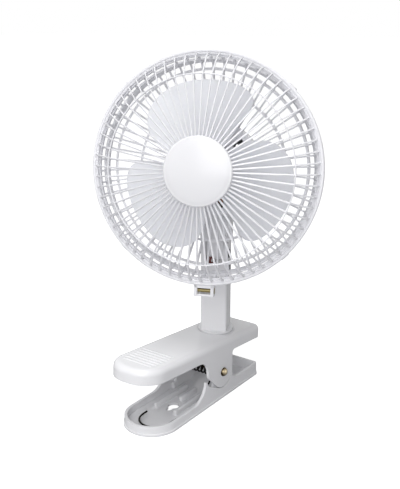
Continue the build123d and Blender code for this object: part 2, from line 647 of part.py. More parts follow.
# ---------------------------------------------------------------- speed switch
SWITCH_BODY = (16.8, 6.0)     # along the post's depth, along its height
SWITCH_BODY_DROP = 0.2        # its middle lies this far below the knob's
SWITCH_BODY_DEPTH = 7.6
SWITCH_CHANNEL = (13.0, 3.0)
SWITCH_CHANNEL_DEPTH = 2.2
KNOB_LENGTH = 8.4
KNOB_HEIGHT = 6.2
KNOB_CORNER = 0.8
KNOB_PROUD = 1.2
KNOB_GAP = 0.3
KNOB_STEM = (3.4, 2.2)
KNOB_GROOVES = 3
KNOB_GROOVE_PITCH = 2.2
KNOB_GROOVE = 0.7
switch_inside = POST_WIDTH / 2 - POST_WALL
knob_rest = SWITCH_TRAVEL / 2          # middle of the knob, ahead of the post's axis

with BuildPart() as switch_body:
    with BuildSketch(post_flank.offset(switch_inside)):
        with Locations((0, SWITCH_Z - SWITCH_BODY_DROP)):
            Rectangle(*SWITCH_BODY)
    extrude(amount=-SWITCH_BODY_DEPTH)
    with BuildSketch(post_flank.offset(switch_inside)):
        with Locations((0, SWITCH_Z)):
            Rectangle(*SWITCH_CHANNEL)
    extrude(amount=-SWITCH_CHANNEL_DEPTH, mode=Mode.SUBTRACT)
save(switch_body.part, "switch_body")

with BuildPart() as switch_slider:
    with BuildSketch(post_flank.offset(switch_inside + KNOB_GAP)):
        with Locations((-knob_rest, SWITCH_Z)):
            RectangleRounded(KNOB_LENGTH, KNOB_HEIGHT, KNOB_CORNER)
    extrude(amount=POST_WALL + KNOB_PROUD - KNOB_GAP)
    with BuildSketch(post_flank.offset(switch_inside + KNOB_GAP)):
        with Locations((-knob_rest, SWITCH_Z)):
            Rectangle(*KNOB_STEM)
    extrude(amount=-SWITCH_CHANNEL_DEPTH)
    with BuildSketch(post_flank.offset(POST_WIDTH / 2 + KNOB_PROUD)):
        with Locations((-knob_rest, SWITCH_Z)):
            with GridLocations(KNOB_GROOVE_PITCH, 0, KNOB_GROOVES, 1):
                Rectangle(KNOB_GROOVE, 2 * KNOB_HEIGHT)
    extrude(amount=-KNOB_GROOVE, mode=Mode.SUBTRACT)
save(switch_slider.part, "switch_slider")

# ---------------------------------------------------------------- leads that run up towards the motor
LEAD_DIAMETER = 1.3
LEAD_COUNT = 3
LEAD_PITCH = 1.5
LEAD_START_Z = CAVITY_TOP - 8.0
LEAD_CLEARANCE = 0.3

with BuildPart() as lead_wires:
    with BuildSketch(post_frame.offset(LEAD_START_Z)):
        with GridLocations(0, LEAD_PITCH, 1, LEAD_COUNT):
            Circle(LEAD_DIAMETER / 2)
    extrude(amount=TILT_Z - TONGUE_RADIUS - LEAD_CLEARANCE - LEAD_START_Z)
save(lead_wires.part, "lead_wires")

# ---------------------------------------------------------------- tilt bolt and nut
BOLT_END = 2.0                # how far the bolt stands out past its nut
BOLT_SLOT = (6.0, 1.0)
BOLT_SLOT_DEPTH = 1.0
BOLT_HEAD_ROUND = 1.0

with BuildPart() as tilt_bolt:
    with BuildSketch(post_flank.offset(POST_WIDTH / 2 - BOLT_RECESS)):
        with Locations((0, TILT_Z)):
            Circle(BOLT_HEAD_DIAMETER / 2)
    extrude(amount=BOLT_HEAD_HEIGHT)
    fillet(tilt_bolt.faces().sort_by(Axis(post_flank.origin, post_flank.z_dir))[-1].edges(), BOLT_HEAD_ROUND)
    with BuildSketch(post_flank.offset(POST_WIDTH / 2 - BOLT_RECESS + BOLT_HEAD_HEIGHT)):
        with Locations((0, TILT_Z)):
            Rectangle(*BOLT_SLOT)
            Rectangle(BOLT_SLOT[1], BOLT_SLOT[0])
    extrude(amount=-BOLT_SLOT_DEPTH, mode=Mode.SUBTRACT)
    with BuildSketch(post_flank.offset(POST_WIDTH / 2 - BOLT_RECESS)):
        with Locations((0, TILT_Z)):
            Circle(BOLT_DIAMETER / 2)
    extrude(amount=-(POST_WIDTH - BOLT_RECESS + BOLT_END))
save(tilt_bolt.part, "tilt_bolt")

with BuildPart() as tilt_nut:
    with BuildSketch(post_flank.offset(-POST_WIDTH / 2 + NUT_HEIGHT)):
        with Locations((0, TILT_Z)):
            RegularPolygon(NUT_FLATS / 2, 6, major_radius=False)
            Circle(BOLT_DIAMETER / 2, mode=Mode.SUBTRACT)
    extrude(amount=-NUT_HEIGHT)
save(tilt_nut.part, "tilt_nut")

# ---------------------------------------------------------------- swivel washer and screw, under the seat
WASHER_DIAMETER = 22.0
WASHER_THICKNESS = 1.2
SWIVEL_HEAD_DIAMETER = 8.5
SWIVEL_HEAD_HEIGHT = 2.8
SWIVEL_HEAD_ROUND = 1.2
SWIVEL_SCREW_DEPTH = 12.0

with BuildPart() as swivel_washer:
    with BuildSketch(post_frame.offset(spigot_end_z)):
        Circle(WASHER_DIAMETER / 2)
        Circle(SWIVEL_BORE / 2, mode=Mode.SUBTRACT)
    extrude(amount=-WASHER_THICKNESS)
save(swivel_washer.part, "swivel_washer")

with BuildPart() as swivel_screw:
    with BuildSketch(post_frame.offset(spigot_end_z - WASHER_THICKNESS)):
        Circle(SWIVEL_HEAD_DIAMETER / 2)
    extrude(amount=-SWIVEL_HEAD_HEIGHT)
    fillet(swivel_screw.faces().sort_by(Axis.Z)[0].edges(), SWIVEL_HEAD_ROUND)
    with BuildSketch(post_frame.offset(spigot_end_z - WASHER_THICKNESS)):
        Circle(SWIVEL_BORE / 2)
    extrude(amount=SWIVEL_SCREW_DEPTH)
save(swivel_screw.part, "swivel_screw")

# ---------------------------------------------------------------- front grille
HUB_DISC_RADIUS = 26.0
CAP_STUB_RADIUS = 5.0
FRONT_RIB_START = (23.6, 28.1)        # radius and z, inside the hub disc
FRONT_RIB_END = (88.9, 0.8)           # inside the rim
FRONT_RIB_FILLET = 7.0
FRONT_RING = (72.3, 22.0)             # radius and z of the ring's middle
FRONT_RING_SIZE = (1.0, 2.8)          # across and along the axis
RIM_WIDTH = 4.4                       # the front rim's ring, across its face
RIM_BEVEL = 1.0
RIM_BACK_Z = -0.6
RIM_FRONT_Z = 2.6
RIM_LIP = 1.7                         # the lip that reaches back over the rear grille's rim
RIM_LIP_Z = -3.9
RIM_GROOVE_RADII = (89.4, 90.0)       # the groove round the rim's face
RIM_GROOVE_Z = 1.5
RIM_GAP = 0.25
REAR_RIM_BACK_Z = -4.4
TAB_COUNT = 4
TAB_FIRST = 45.0
TAB_WIDTH = 6.5
TAB_BACK_Z = -6.4
TAB_PROUD = 0.8
TAB_HOOK = 3.0
LATCH_LEGS = ((-6.5, -3.7), (7.2, 9.8))
LATCH_TOP_RADIUS = 91.0
LATCH_BOTTOM_RADIUS = 101.5
LATCH_BACK_Z = -6.5
LATCH_FRONT_Z = 1.5
LATCH_BRIDGE_RADIUS = 94.6            # the bridge that joins the legs reaches down to here
LATCH_SCREW_RADIUS = 97.0             # from the fan's axis to the screw across the latch
LATCH_SCREW_Z = -2.5
LATCH_SCREW_DIAMETER = 3.4
LATCH_HEAD_DIAMETER = 5.4
LATCH_HEAD_HEIGHT = 1.4
latch_width = LATCH_LEGS[1][1] - LATCH_LEGS[0][0]
hook_x = (LATCH_LEGS[0][1] + LATCH_LEGS[1][0]) / 2
latch_side = Plane(head_pose * Location((LATCH_LEGS[0][0], 0, 0), (0, 90, 0)))
latch_screw_centre = (-LATCH_SCREW_Z, -LATCH_SCREW_RADIUS)


def rim_face_z(radius):
    """Height of the front rim's bevelled face."""
    return RIM_FRONT_Z - RIM_BEVEL * (RIM_RADIUS - RIM_LIP - radius) / (RIM_WIDTH - RIM_LIP)


def rib(corners, fillet_radius, width):
    """One grille rib in the head's own frame, along +X, its corners given as (radius, z)."""
    with BuildPart() as bar:
        with BuildSketch(Plane.XZ.offset(-width / 2)):
            with BuildLine():
                FilletPolyline(*corners, radius=fillet_radius)
            trace(line_width=RIB_DEPTH)
        extrude(amount=width)
    return bar.part


groove_inner, groove_outer = RIM_GROOVE_RADII
front_rib = rib((FRONT_RIB_START, *FRONT_BENDS, FRONT_RIB_END), FRONT_RIB_FILLET, FRONT_RIB_WIDTH)

with BuildPart(head) as front_grille:
    with PolarLocations(0, FRONT_RIB_COUNT):
        add(front_rib)
    with BuildSketch(head_half):
        with Locations((HUB_DISC_RADIUS / 2, (HUB_DISC_BACK_Z + HUB_DISC_FRONT_Z) / 2)):
            Rectangle(HUB_DISC_RADIUS, HUB_DISC_FRONT_Z - HUB_DISC_BACK_Z)
        with Locations(FRONT_RING):
            Rectangle(*FRONT_RING_SIZE)
        with BuildLine():
            Polyline((RIM_RADIUS - RIM_WIDTH, RIM_BACK_Z), (RIM_RADIUS - RIM_LIP, RIM_BACK_Z),
                     (RIM_RADIUS - RIM_LIP, RIM_LIP_Z), (RIM_RADIUS, RIM_LIP_Z),
                     (RIM_RADIUS, RIM_FRONT_Z - RIM_LIP))
            RadiusArc((RIM_RADIUS, RIM_FRONT_Z - RIM_LIP), (RIM_RADIUS - RIM_LIP, RIM_FRONT_Z), -RIM_LIP)
            Polyline((RIM_RADIUS - RIM_LIP, RIM_FRONT_Z), (groove_outer, rim_face_z(groove_outer)),
                     (groove_outer, RIM_GROOVE_Z), (groove_inner, RIM_GROOVE_Z),
                     (groove_inner, rim_face_z(groove_inner)),
                     (RIM_RADIUS - RIM_WIDTH, rim_face_z(RIM_RADIUS - RIM_WIDTH)),
                     (RIM_RADIUS - RIM_WIDTH, RIM_BACK_Z))
        make_face()
    revolve(axis=head_axis)
    # Snap tabs that hook behind the rear grille's rim
    with BuildSketch(head.offset(TAB_BACK_Z)):
        with PolarLocations(RIM_RADIUS + (TAB_PROUD - RIM_LIP) / 2, TAB_COUNT, start_angle=TAB_FIRST):
            Rectangle(RIM_LIP + TAB_PROUD, TAB_WIDTH)
    extrude(amount=RIM_FRONT_Z - TAB_BACK_Z - RIM_LIP)
    with BuildSketch(head.offset(TAB_BACK_Z)):
        with PolarLocations(RIM_RADIUS - RIM_LIP, TAB_COUNT, start_angle=TAB_FIRST):
            Rectangle(TAB_HOOK, TAB_WIDTH)
    extrude(amount=REAR_RIM_BACK_Z - RIM_GAP - TAB_BACK_Z)
    # Latch at the bottom: two legs under a bridge, bored for the screw that lies across them
    with BuildSketch(head.offset(LATCH_BACK_Z)):
        for inner, outer in LATCH_LEGS:
            with Locations(((inner + outer) / 2, -(LATCH_TOP_RADIUS + LATCH_BOTTOM_RADIUS) / 2)):
                Rectangle(outer - inner, LATCH_BOTTOM_RADIUS - LATCH_TOP_RADIUS)
    extrude(amount=LATCH_FRONT_Z - LATCH_BACK_Z)
    with BuildSketch(head.offset(RIM_LIP_Z)):
        with Locations((hook_x, -(LATCH_TOP_RADIUS + LATCH_BRIDGE_RADIUS) / 2)):
            Rectangle(latch_width - FUSE, LATCH_BRIDGE_RADIUS - LATCH_TOP_RADIUS)
    extrude(amount=LATCH_FRONT_Z - RIM_LIP_Z)
    with BuildSketch(latch_side):
        with Locations(latch_screw_centre):
            Circle(LATCH_SCREW_DIAMETER / 2)
    extrude(amount=latch_width, mode=Mode.SUBTRACT)
    with BuildSketch(latch_side.offset(latch_width)):
        with Locations(latch_screw_centre):
            Circle(LATCH_HEAD_DIAMETER / 2)
    extrude(amount=-LATCH_HEAD_HEIGHT, mode=Mode.SUBTRACT)
    # Socket for the cap's stub
    with BuildSketch(head):
        Circle(CAP_STUB_RADIUS)
    extrude(amount=2 * HUB_DISC_FRONT_Z, mode=Mode.SUBTRACT)
save(front_grille.part, "front_grille")

# ---------------------------------------------------------------- front cap
CAP_EDGE_HEIGHT = 1.2
CAP_CROWN = 2.4
CAP_EDGE_RADIUS = 0.8
STUB_PROUD = 0.2              # how far the stub stands out behind the disc
cap_back_z = HUB_DISC_FRONT_Z + SEAM
stub_end_z = HUB_DISC_BACK_Z - STUB_PROUD
crown_z = cap_back_z + CAP_EDGE_HEIGHT + CAP_CROWN

with BuildPart() as front_cap:
    with BuildSketch(head_half) as cap_profile:
        with BuildLine():
            Polyline((0, stub_end_z), (CAP_STUB_RADIUS, stub_end_z),
                     (CAP_STUB_RADIUS, cap_back_z), (CAP_RADIUS, cap_back_z),
                     (CAP_RADIUS, cap_back_z + CAP_EDGE_HEIGHT))
            ThreePointArc((CAP_RADIUS, cap_back_z + CAP_EDGE_HEIGHT),
                          (CAP_RADIUS / 2, crown_z - dome_fall(CAP_RADIUS, CAP_CROWN)), (0, crown_z))
            Line((0, crown_z), (0, stub_end_z))
        make_face()
        fillet(near(cap_profile.vertices(), (CAP_RADIUS, cap_back_z + CAP_EDGE_HEIGHT)), CAP_EDGE_RADIUS)
    revolve(axis=head_axis)
save(front_cap.part, "front_cap")

# ---------------------------------------------------------------- rear grille
BAND_FRONT = (86.1, -10.4)    # radius and z of the side band's middle line, front edge
BAND_BACK = (84.4, -16.4)     # and rear edge
BAND_THICKNESS = 1.7
REAR_RIM_INNER = 86.8
REAR_RIM_OUTER = 90.6
REAR_RIM_SEAT = 0.1           # between the two grilles' rims
REAR_RIB_FILLET = 4.0
REAR_RIB_START = (37.0, -29.8)        # radius and z, inside the centre plate
REAR_RIB_END = (88.5, -2.4)           # inside the rim
REAR_RINGS = ((60.2, -27.9, 14.0), (79.0, -20.0, 22.7))    # radius, z and slope of each ring
VENT_COUNT = 12
VENT_FIRST = 15.0
VENT_RADII = (24.0, 33.5)
VENT_WIDTH = 5.0
SHAFT_HOLE = 13.5
MOTOR_BOSS_DIAMETER = 8.0
MOTOR_SCREW_DIAMETER = 3.0
HOUSING_SCREW_DIAMETER = 3.0
HOUSING_SCREW_FIRST = 90.0
HOUSING_SCREW_COUNT = 3
HOOK_WIDTH = 9.6
HOOK_THICKNESS = 2.4
HOOK_LENGTH = 12.0
plate_front_z = BACK_PLATE_Z + BACK_PLATE_THICKNESS
bracket_front_z = STACK_FRONT_Z + BRACKET_STANDOFF        # rear face of the front bracket's plate
boss_end_z = bracket_front_z + BRACKET_THICKNESS
rim_front_z = RIM_BACK_Z - REAR_RIM_SEAT
hook_front_z = LATCH_SCREW_Z - LATCH_SCREW_DIAMETER / 2 - SEAM

rear_rib = rib((REAR_RIB_START, *REAR_BENDS, REAR_RIB_END), REAR_RIB_FILLET, REAR_RIB_WIDTH)
band_half = BAND_THICKNESS / 2

with BuildPart(head) as rear_grille:
    with PolarLocations(0, REAR_RIB_COUNT, start_angle=360 / REAR_RIB_COUNT / 2):
        add(rear_rib)
    with BuildSketch(head_half):
        with Locations((BACK_PLATE_RADIUS / 2, (BACK_PLATE_Z + plate_front_z) / 2)):
            Rectangle(BACK_PLATE_RADIUS, BACK_PLATE_THICKNESS)
        for ring_radius, ring_z, ring_slope in REAR_RINGS:
            with Locations((ring_radius, ring_z)):
                Rectangle(RING_SIZE, RING_SIZE, rotation=ring_slope)
        with Locations(((REAR_RIM_INNER + REAR_RIM_OUTER) / 2, (rim_front_z + REAR_RIM_BACK_Z) / 2)):
            Rectangle(REAR_RIM_OUTER - REAR_RIM_INNER, rim_front_z - REAR_RIM_BACK_Z)
        with BuildLine():
            Polyline((BAND_FRONT[0] + band_half, BAND_FRONT[1]), (BAND_FRONT[0] - band_half, BAND_FRONT[1]),
                     (BAND_BACK[0] - band_half, BAND_BACK[1]), (BAND_BACK[0] + band_half, BAND_BACK[1]),
                     close=True)
        make_face()
    revolve(axis=head_axis)
    # Cooling slots round the motor, the shaft's hole, and the motor's bosses
    with BuildSketch(head.offset(BACK_PLATE_Z)):
        with PolarLocations((VENT_RADII[0] + VENT_RADII[1]) / 2, VENT_COUNT, start_angle=VENT_FIRST):
            SlotOverall(VENT_RADII[1] - VENT_RADII[0], VENT_WIDTH)
        with PolarLocations(HOUSING_SCREW_RADIUS, HOUSING_SCREW_COUNT, start_angle=HOUSING_SCREW_FIRST):
            Circle(HOUSING_SCREW_DIAMETER / 2)
    extrude(amount=BACK_PLATE_THICKNESS, mode=Mode.SUBTRACT)
    with BuildSketch(head.offset(boss_end_z)):
        Circle(SHAFT_HOLE / 2 + BACK_PLATE_THICKNESS)
        with GridLocations(2 * MOTOR_SCREW_X, 0, 2, 1):
            Circle(MOTOR_BOSS_DIAMETER / 2)
    extrude(amount=BACK_PLATE_Z - boss_end_z)
    with BuildSketch(head.offset(boss_end_z)):
        Circle(SHAFT_HOLE / 2)
        with GridLocations(2 * MOTOR_SCREW_X, 0, 2, 1):
            Circle(MOTOR_SCREW_DIAMETER / 2)
    extrude(amount=plate_front_z - boss_end_z, mode=Mode.SUBTRACT)
    # Hook that lies behind the latch screw, and its root in the rim
    with BuildSketch(head.offset(hook_front_z)):
        with Locations((hook_x, -(REAR_RIM_INNER + HOOK_LENGTH / 2))):
            Rectangle(HOOK_WIDTH, HOOK_LENGTH)
    extrude(amount=-HOOK_THICKNESS)
    with BuildSketch(head.offset(REAR_RIM_BACK_Z + FUSE)):
        with Locations((hook_x, -(REAR_RIM_INNER + REAR_RIM_OUTER - FUSE) / 2)):
            Rectangle(HOOK_WIDTH, REAR_RIM_OUTER - REAR_RIM_INNER - FUSE)
    extrude(amount=hook_front_z - HOOK_THICKNESS - REAR_RIM_BACK_Z)
save(rear_grille.part, "rear_grille")

# ---------------------------------------------------------------- latch screw
with BuildPart() as grille_screw:
    with BuildSketch(latch_side):
        with Locations(latch_screw_centre):
            Circle(LATCH_SCREW_DIAMETER / 2)
    extrude(amount=latch_width)
    with BuildSketch(latch_side.offset(latch_width)):
        with Locations(latch_screw_centre):
            Circle(LATCH_HEAD_DIAMETER / 2)
    extrude(amount=-LATCH_HEAD_HEIGHT)
save(grille_screw.part, "grille_screw")

# ---------------------------------------------------------------- motor housing with its neck and tongue
SHOULDER_RADIUS_NECK = 15.0   # hollow of the shoulder, round the tilt axis
NECK_CORNER = 3.0
HOUSING_BOSS_DIAMETER = 9.0
HOUSING_BOSS_WEB = 5.1        # from the boss's centre into the cup's wall
HOUSING_BOSS_DEPTH = 22.0
HOUSING_BORE = 2.6
HOUSING_BORE_DEPTH = 14.0
BACK_VENT_COUNT = 7
BACK_VENT_PITCH = 6.4
BACK_VENT_WIDTH = 2.6
BACK_VENT_HALF_HEIGHT = 23.0
pivot_back = HEAD_REACH       # the tilt axis, as seen from the head's flank
pivot_up = -HEAD_RISE
cup_front_z = BACK_PLATE_Z - SEAM
cup_floor_z = HOUSING_BACK_Z + HOUSING_WALL
cup_inside = HOUSING_RADIUS - HOUSING_WALL
cup_inside_fillet = HOUSING_EDGE_RADIUS - HOUSING_WALL

with BuildPart() as motor_housing:
    with BuildSketch(head_half) as cup_profile:
        with BuildLine():
            Polyline((0, HOUSING_BACK_Z), (HOUSING_RADIUS, HOUSING_BACK_Z), (HOUSING_RADIUS, cup_front_z),
                     (0, cup_front_z), close=True)
        make_face()
        fillet(near(cup_profile.vertices(), (HOUSING_RADIUS, HOUSING_BACK_Z)), HOUSING_EDGE_RADIUS)
    revolve(axis=head_axis)
    # Neck from the cup down to the tongue, hollowed under its shoulder so that it clears the fork
    with BuildSketch(head_flank.offset(-NECK_WIDTH / 2)):
        with Locations((pivot_back, pivot_up / 2)):
            Rectangle(NECK_DEPTH, -pivot_up)
        with Locations((pivot_back, pivot_up)):
            Circle(SHOULDER_RADIUS_NECK, mode=Mode.SUBTRACT)
    extrude(amount=NECK_WIDTH)
    fillet(motor_housing.edges().filter_by(Axis(head.origin, head.y_dir)), NECK_CORNER)
    with BuildSketch(head_flank.offset(-TONGUE_WIDTH / 2)):
        with BuildLine():
            Polyline((pivot_back + TONGUE_RADIUS, pivot_up), (pivot_back + TONGUE_ROOT, pivot_up / 2),
                     (pivot_back - TONGUE_ROOT, pivot_up / 2), (pivot_back - TONGUE_RADIUS, pivot_up))
            ThreePointArc((pivot_back - TONGUE_RADIUS, pivot_up), (pivot_back, pivot_up - TONGUE_RADIUS),
                          (pivot_back + TONGUE_RADIUS, pivot_up))
        make_face()
    extrude(amount=TONGUE_WIDTH)
    # Inside of the cup, then the screw bosses that stand in it
    with BuildSketch(head_half) as hollow_profile:
        with BuildLine():
            Polyline((0, cup_floor_z), (cup_inside, cup_floor_z), (cup_inside, cup_front_z), (0, cup_front_z),
                     close=True)
        make_face()
        fillet(near(hollow_profile.vertices(), (cup_inside, cup_floor_z)), cup_inside_fillet)
    revolve(axis=head_axis, mode=Mode.SUBTRACT)
    with BuildSketch(head.offset(cup_front_z)):
        with PolarLocations(HOUSING_SCREW_RADIUS, HOUSING_SCREW_COUNT, start_angle=HOUSING_SCREW_FIRST):
            Circle(HOUSING_BOSS_DIAMETER / 2)
            with Locations((HOUSING_BOSS_WEB / 2, 0)):
                Rectangle(HOUSING_BOSS_WEB, HOUSING_BOSS_DIAMETER / 2)
    extrude(amount=-HOUSING_BOSS_DEPTH)
    with BuildSketch(head.offset(cup_front_z)):
        with PolarLocations(HOUSING_SCREW_RADIUS, HOUSING_SCREW_COUNT, start_angle=HOUSING_SCREW_FIRST):
            Circle(HOUSING_BORE / 2)
    extrude(amount=-HOUSING_BORE_DEPTH, mode=Mode.SUBTRACT)
    # Air slots in the back wall, shorter towards the sides
    with BuildSketch(head.offset(HOUSING_BACK_Z)):
        for column in range(BACK_VENT_COUNT):
            column_x = (column - (BACK_VENT_COUNT - 1) / 2) * BACK_VENT_PITCH
            slot_length = 2 * sqrt(BACK_VENT_HALF_HEIGHT ** 2 - column_x ** 2)
            with Locations((column_x, 0)):
                SlotOverall(slot_length, BACK_VENT_WIDTH, rotation=90)
    extrude(amount=HOUSING_WALL, mode=Mode.SUBTRACT)
    with BuildSketch(head_flank.offset(-NECK_WIDTH)):
        with Locations((pivot_back, pivot_up)):
            Circle(BOLT_DIAMETER / 2 + PIN_CLEARANCE)
    extrude(amount=2 * NECK_WIDTH, mode=Mode.SUBTRACT)
save(motor_housing.part, "motor_housing")

# ---------------------------------------------------------------- screws from rear grille to housing
SCREW_HEAD_DIAMETER = 5.6
SCREW_HEAD_HEIGHT = 1.8

with BuildPart() as housing_screws:
    with BuildSketch(head.offset(plate_front_z)):
        with PolarLocations(HOUSING_SCREW_RADIUS, HOUSING_SCREW_COUNT, start_angle=HOUSING_SCREW_FIRST):
            Circle(SCREW_HEAD_DIAMETER / 2)
    extrude(amount=SCREW_HEAD_HEIGHT)
    with BuildSketch(head.offset(plate_front_z)):
        with PolarLocations(HOUSING_SCREW_RADIUS, HOUSING_SCREW_COUNT, start_angle=HOUSING_SCREW_FIRST):
            Circle(HOUSING_BORE / 2)
    extrude(amount=-BACK_PLATE_THICKNESS - HOUSING_BORE_DEPTH + FUSE)
save(housing_screws.part, "housing_screws")

# ---------------------------------------------------------------- stator: a laminated C-frame
WINDOW_HALF_WIDTH = 12.0
YOKE_HEIGHT = 7.0
POLE_BRIDGE = 2.4             # iron left between the bore and the coil's window
STACK_CORNER = 3.0
bore_radius = ROTOR_DIAMETER / 2 + AIR_GAP
yoke_top = STACK_BOTTOM + YOKE_HEIGHT
window_top = -(bore_radius + POLE_BRIDGE)
stack_back_z = STACK_FRONT_Z - STACK_LENGTH
motor_screw_bore = MOTOR_SCREW_DIAMETER / 2

with BuildPart() as stator:
    with BuildSketch(head.offset(stack_back_z)):
        with Locations((0, (STACK_TOP + STACK_BOTTOM) / 2)):
            RectangleRounded(2 * STACK_HALF_WIDTH, STACK_TOP - STACK_BOTTOM, STACK_CORNER)
        Circle(bore_radius, mode=Mode.SUBTRACT)
        with Locations((0, (yoke_top + window_top) / 2)):
            Rectangle(2 * WINDOW_HALF_WIDTH, window_top - yoke_top, mode=Mode.SUBTRACT)
        with GridLocations(2 * MOTOR_SCREW_X, 0, 2, 1):
            Circle(motor_screw_bore, mode=Mode.SUBTRACT)
    extrude(amount=STACK_LENGTH)
save(stator.part, "stator")

# ---------------------------------------------------------------- bobbin and coil on the stator's yoke
BOBBIN_WALL = 0.8
BOBBIN_FLANGE = 0.9
COIL_THICKNESS = 3.4
COIL_SHY = 0.6                # the winding stays this far inside the bobbin's flanges, both sides together
COIL_CORNER = 2.0
BOBBIN_HALF_LENGTH = 11.4
stack_middle_z = STACK_FRONT_Z - STACK_LENGTH / 2
bobbin_middle = (-stack_middle_z, (yoke_top + STACK_BOTTOM) / 2)
winding = 2 * (BOBBIN_WALL + COIL_THICKNESS)
bobbin_outer = (STACK_LENGTH + winding, YOKE_HEIGHT + winding)
bobbin_end = head_flank.offset(-BOBBIN_HALF_LENGTH)
bobbin_tube = (STACK_LENGTH + 2 * BOBBIN_WALL, YOKE_HEIGHT + 2 * BOBBIN_WALL)

with BuildPart() as stator_bobbin:
    with BuildSketch(bobbin_end):
        with Locations(bobbin_middle):
            Rectangle(*bobbin_tube)
    extrude(amount=2 * BOBBIN_HALF_LENGTH)
    with BuildSketch(bobbin_end, bobbin_end.offset(2 * BOBBIN_HALF_LENGTH - BOBBIN_FLANGE)):
        with Locations(bobbin_middle):
            Rectangle(*bobbin_outer)
    extrude(amount=BOBBIN_FLANGE)
    with BuildSketch(bobbin_end):
        with Locations(bobbin_middle):
            Rectangle(STACK_LENGTH, YOKE_HEIGHT)
    extrude(amount=2 * BOBBIN_HALF_LENGTH, mode=Mode.SUBTRACT)
save(stator_bobbin.part, "stator_bobbin")

with BuildPart() as stator_coil:
    with BuildSketch(bobbin_end.offset(BOBBIN_FLANGE)):
        with Locations(bobbin_middle):
            RectangleRounded(bobbin_outer[0] - COIL_SHY, bobbin_outer[1] - COIL_SHY, COIL_CORNER)
            Rectangle(*bobbin_tube, mode=Mode.SUBTRACT)
    extrude(amount=2 * (BOBBIN_HALF_LENGTH - BOBBIN_FLANGE))
save(stator_coil.part, "stator_coil")

# ---------------------------------------------------------------- motor brackets
BRACKET_ARM_WIDTH = 9.0
BEARING_DIAMETER = 9.0
BEARING_LENGTH = 7.0
COLLAR_DIAMETER = 12.5
COLLAR_SHOULDER = 1.5
STANDOFF_DIAMETER = 7.0
FRONT_BEARING_FRONT_Z = -33.2
REAR_BEARING_BACK_Z = -70.4
bracket_rear_z = stack_back_z - BRACKET_STANDOFF          # front face of the rear bracket's plate


def bracket(plate_z, stack_z, collar_front_z):
    """A bracket that bridges the stack: plate, two standoffs and a bearing collar."""
    outward = 1 if plate_z > stack_z else -1
    with BuildPart() as piece:
        with BuildSketch(head.offset(plate_z)):
            SlotOverall(2 * MOTOR_SCREW_X + BRACKET_ARM_WIDTH, BRACKET_ARM_WIDTH)
            Circle(COLLAR_DIAMETER / 2 + COLLAR_SHOULDER)
        extrude(amount=outward * BRACKET_THICKNESS)
        with BuildSketch(head.offset(stack_z)):
            with GridLocations(2 * MOTOR_SCREW_X, 0, 2, 1):
                Circle(STANDOFF_DIAMETER / 2)
        extrude(amount=plate_z - stack_z)
        with BuildSketch(head.offset(collar_front_z)):
            Circle(COLLAR_DIAMETER / 2)
        extrude(amount=-BEARING_LENGTH)
        with BuildSketch(head.offset(collar_front_z)):
            Circle(BEARING_DIAMETER / 2)
        extrude(amount=-BEARING_LENGTH, mode=Mode.SUBTRACT)
        with BuildSketch(head.offset(plate_z + outward * BRACKET_THICKNESS)):
            with GridLocations(2 * MOTOR_SCREW_X, 0, 2, 1):
                Circle(motor_screw_bore)
        extrude(amount=stack_z - plate_z - outward * BRACKET_THICKNESS, mode=Mode.SUBTRACT)
    return piece.part


save(bracket(bracket_front_z, STACK_FRONT_Z, FRONT_BEARING_FRONT_Z), "front_bracket")
save(bracket(bracket_rear_z, stack_back_z, REAR_BEARING_BACK_Z + BEARING_LENGTH), "rear_bracket")

# ---------------------------------------------------------------- sleeve bearings
for bearing_name, bearing_front_z in (("front_bearing", FRONT_BEARING_FRONT_Z),
                                      ("rear_bearing", REAR_BEARING_BACK_Z + BEARING_LENGTH)):
    with BuildPart() as bearing:
        with BuildSketch(head.offset(bearing_front_z)):
            Circle(BEARING_DIAMETER / 2)
            Circle(SHAFT_DIAMETER / 2 + PIN_CLEARANCE, mode=Mode.SUBTRACT)
        extrude(amount=-BEARING_LENGTH)
    save(bearing.part, bearing_name)

# ---------------------------------------------------------------- screws that clamp the motor to the plate
with BuildPart() as motor_screws:
    with BuildSketch(head.offset(plate_front_z)):
        with GridLocations(2 * MOTOR_SCREW_X, 0, 2, 1):
            Circle(SCREW_HEAD_DIAMETER / 2)
    extrude(amount=SCREW_HEAD_HEIGHT)
    with BuildSketch(head.offset(plate_front_z)):
        with GridLocations(2 * MOTOR_SCREW_X, 0, 2, 1):
            Circle(motor_screw_bore)
    extrude(amount=bracket_rear_z - BRACKET_THICKNESS - plate_front_z)
save(motor_screws.part, "motor_screws")

# ---------------------------------------------------------------- rotor: core, shaft and thrust washers
SHAFT_FRONT_Z = 5.0
THRUST_GAP = 0.3
THRUST_THICKNESS = 1.0
THRUST_DIAMETER = 8.0

with BuildPart() as rotor_core:
    with BuildSketch(head.offset(stack_back_z)):
        Circle(ROTOR_DIAMETER / 2)
        Circle(SHAFT_DIAMETER / 2, mode=Mode.SUBTRACT)
    extrude(amount=STACK_LENGTH)
save(rotor_core.part, "rotor_core")

with BuildPart() as motor_shaft:
    with BuildSketch(head.offset(REAR_BEARING_BACK_Z)):
        Circle(SHAFT_DIAMETER / 2)
    extrude(amount=SHAFT_FRONT_Z - REAR_BEARING_BACK_Z)
save(motor_shaft.part, "motor_shaft")

with BuildPart() as thrust_washers:
    with BuildSketch(head.offset(FRONT_BEARING_FRONT_Z - BEARING_LENGTH - THRUST_GAP - THRUST_THICKNESS),
                     head.offset(REAR_BEARING_BACK_Z + BEARING_LENGTH + THRUST_GAP)):
        Circle(THRUST_DIAMETER / 2)
        Circle(SHAFT_DIAMETER / 2, mode=Mode.SUBTRACT)
    extrude(amount=THRUST_THICKNESS)
save(thrust_washers.part, "thrust_washers")

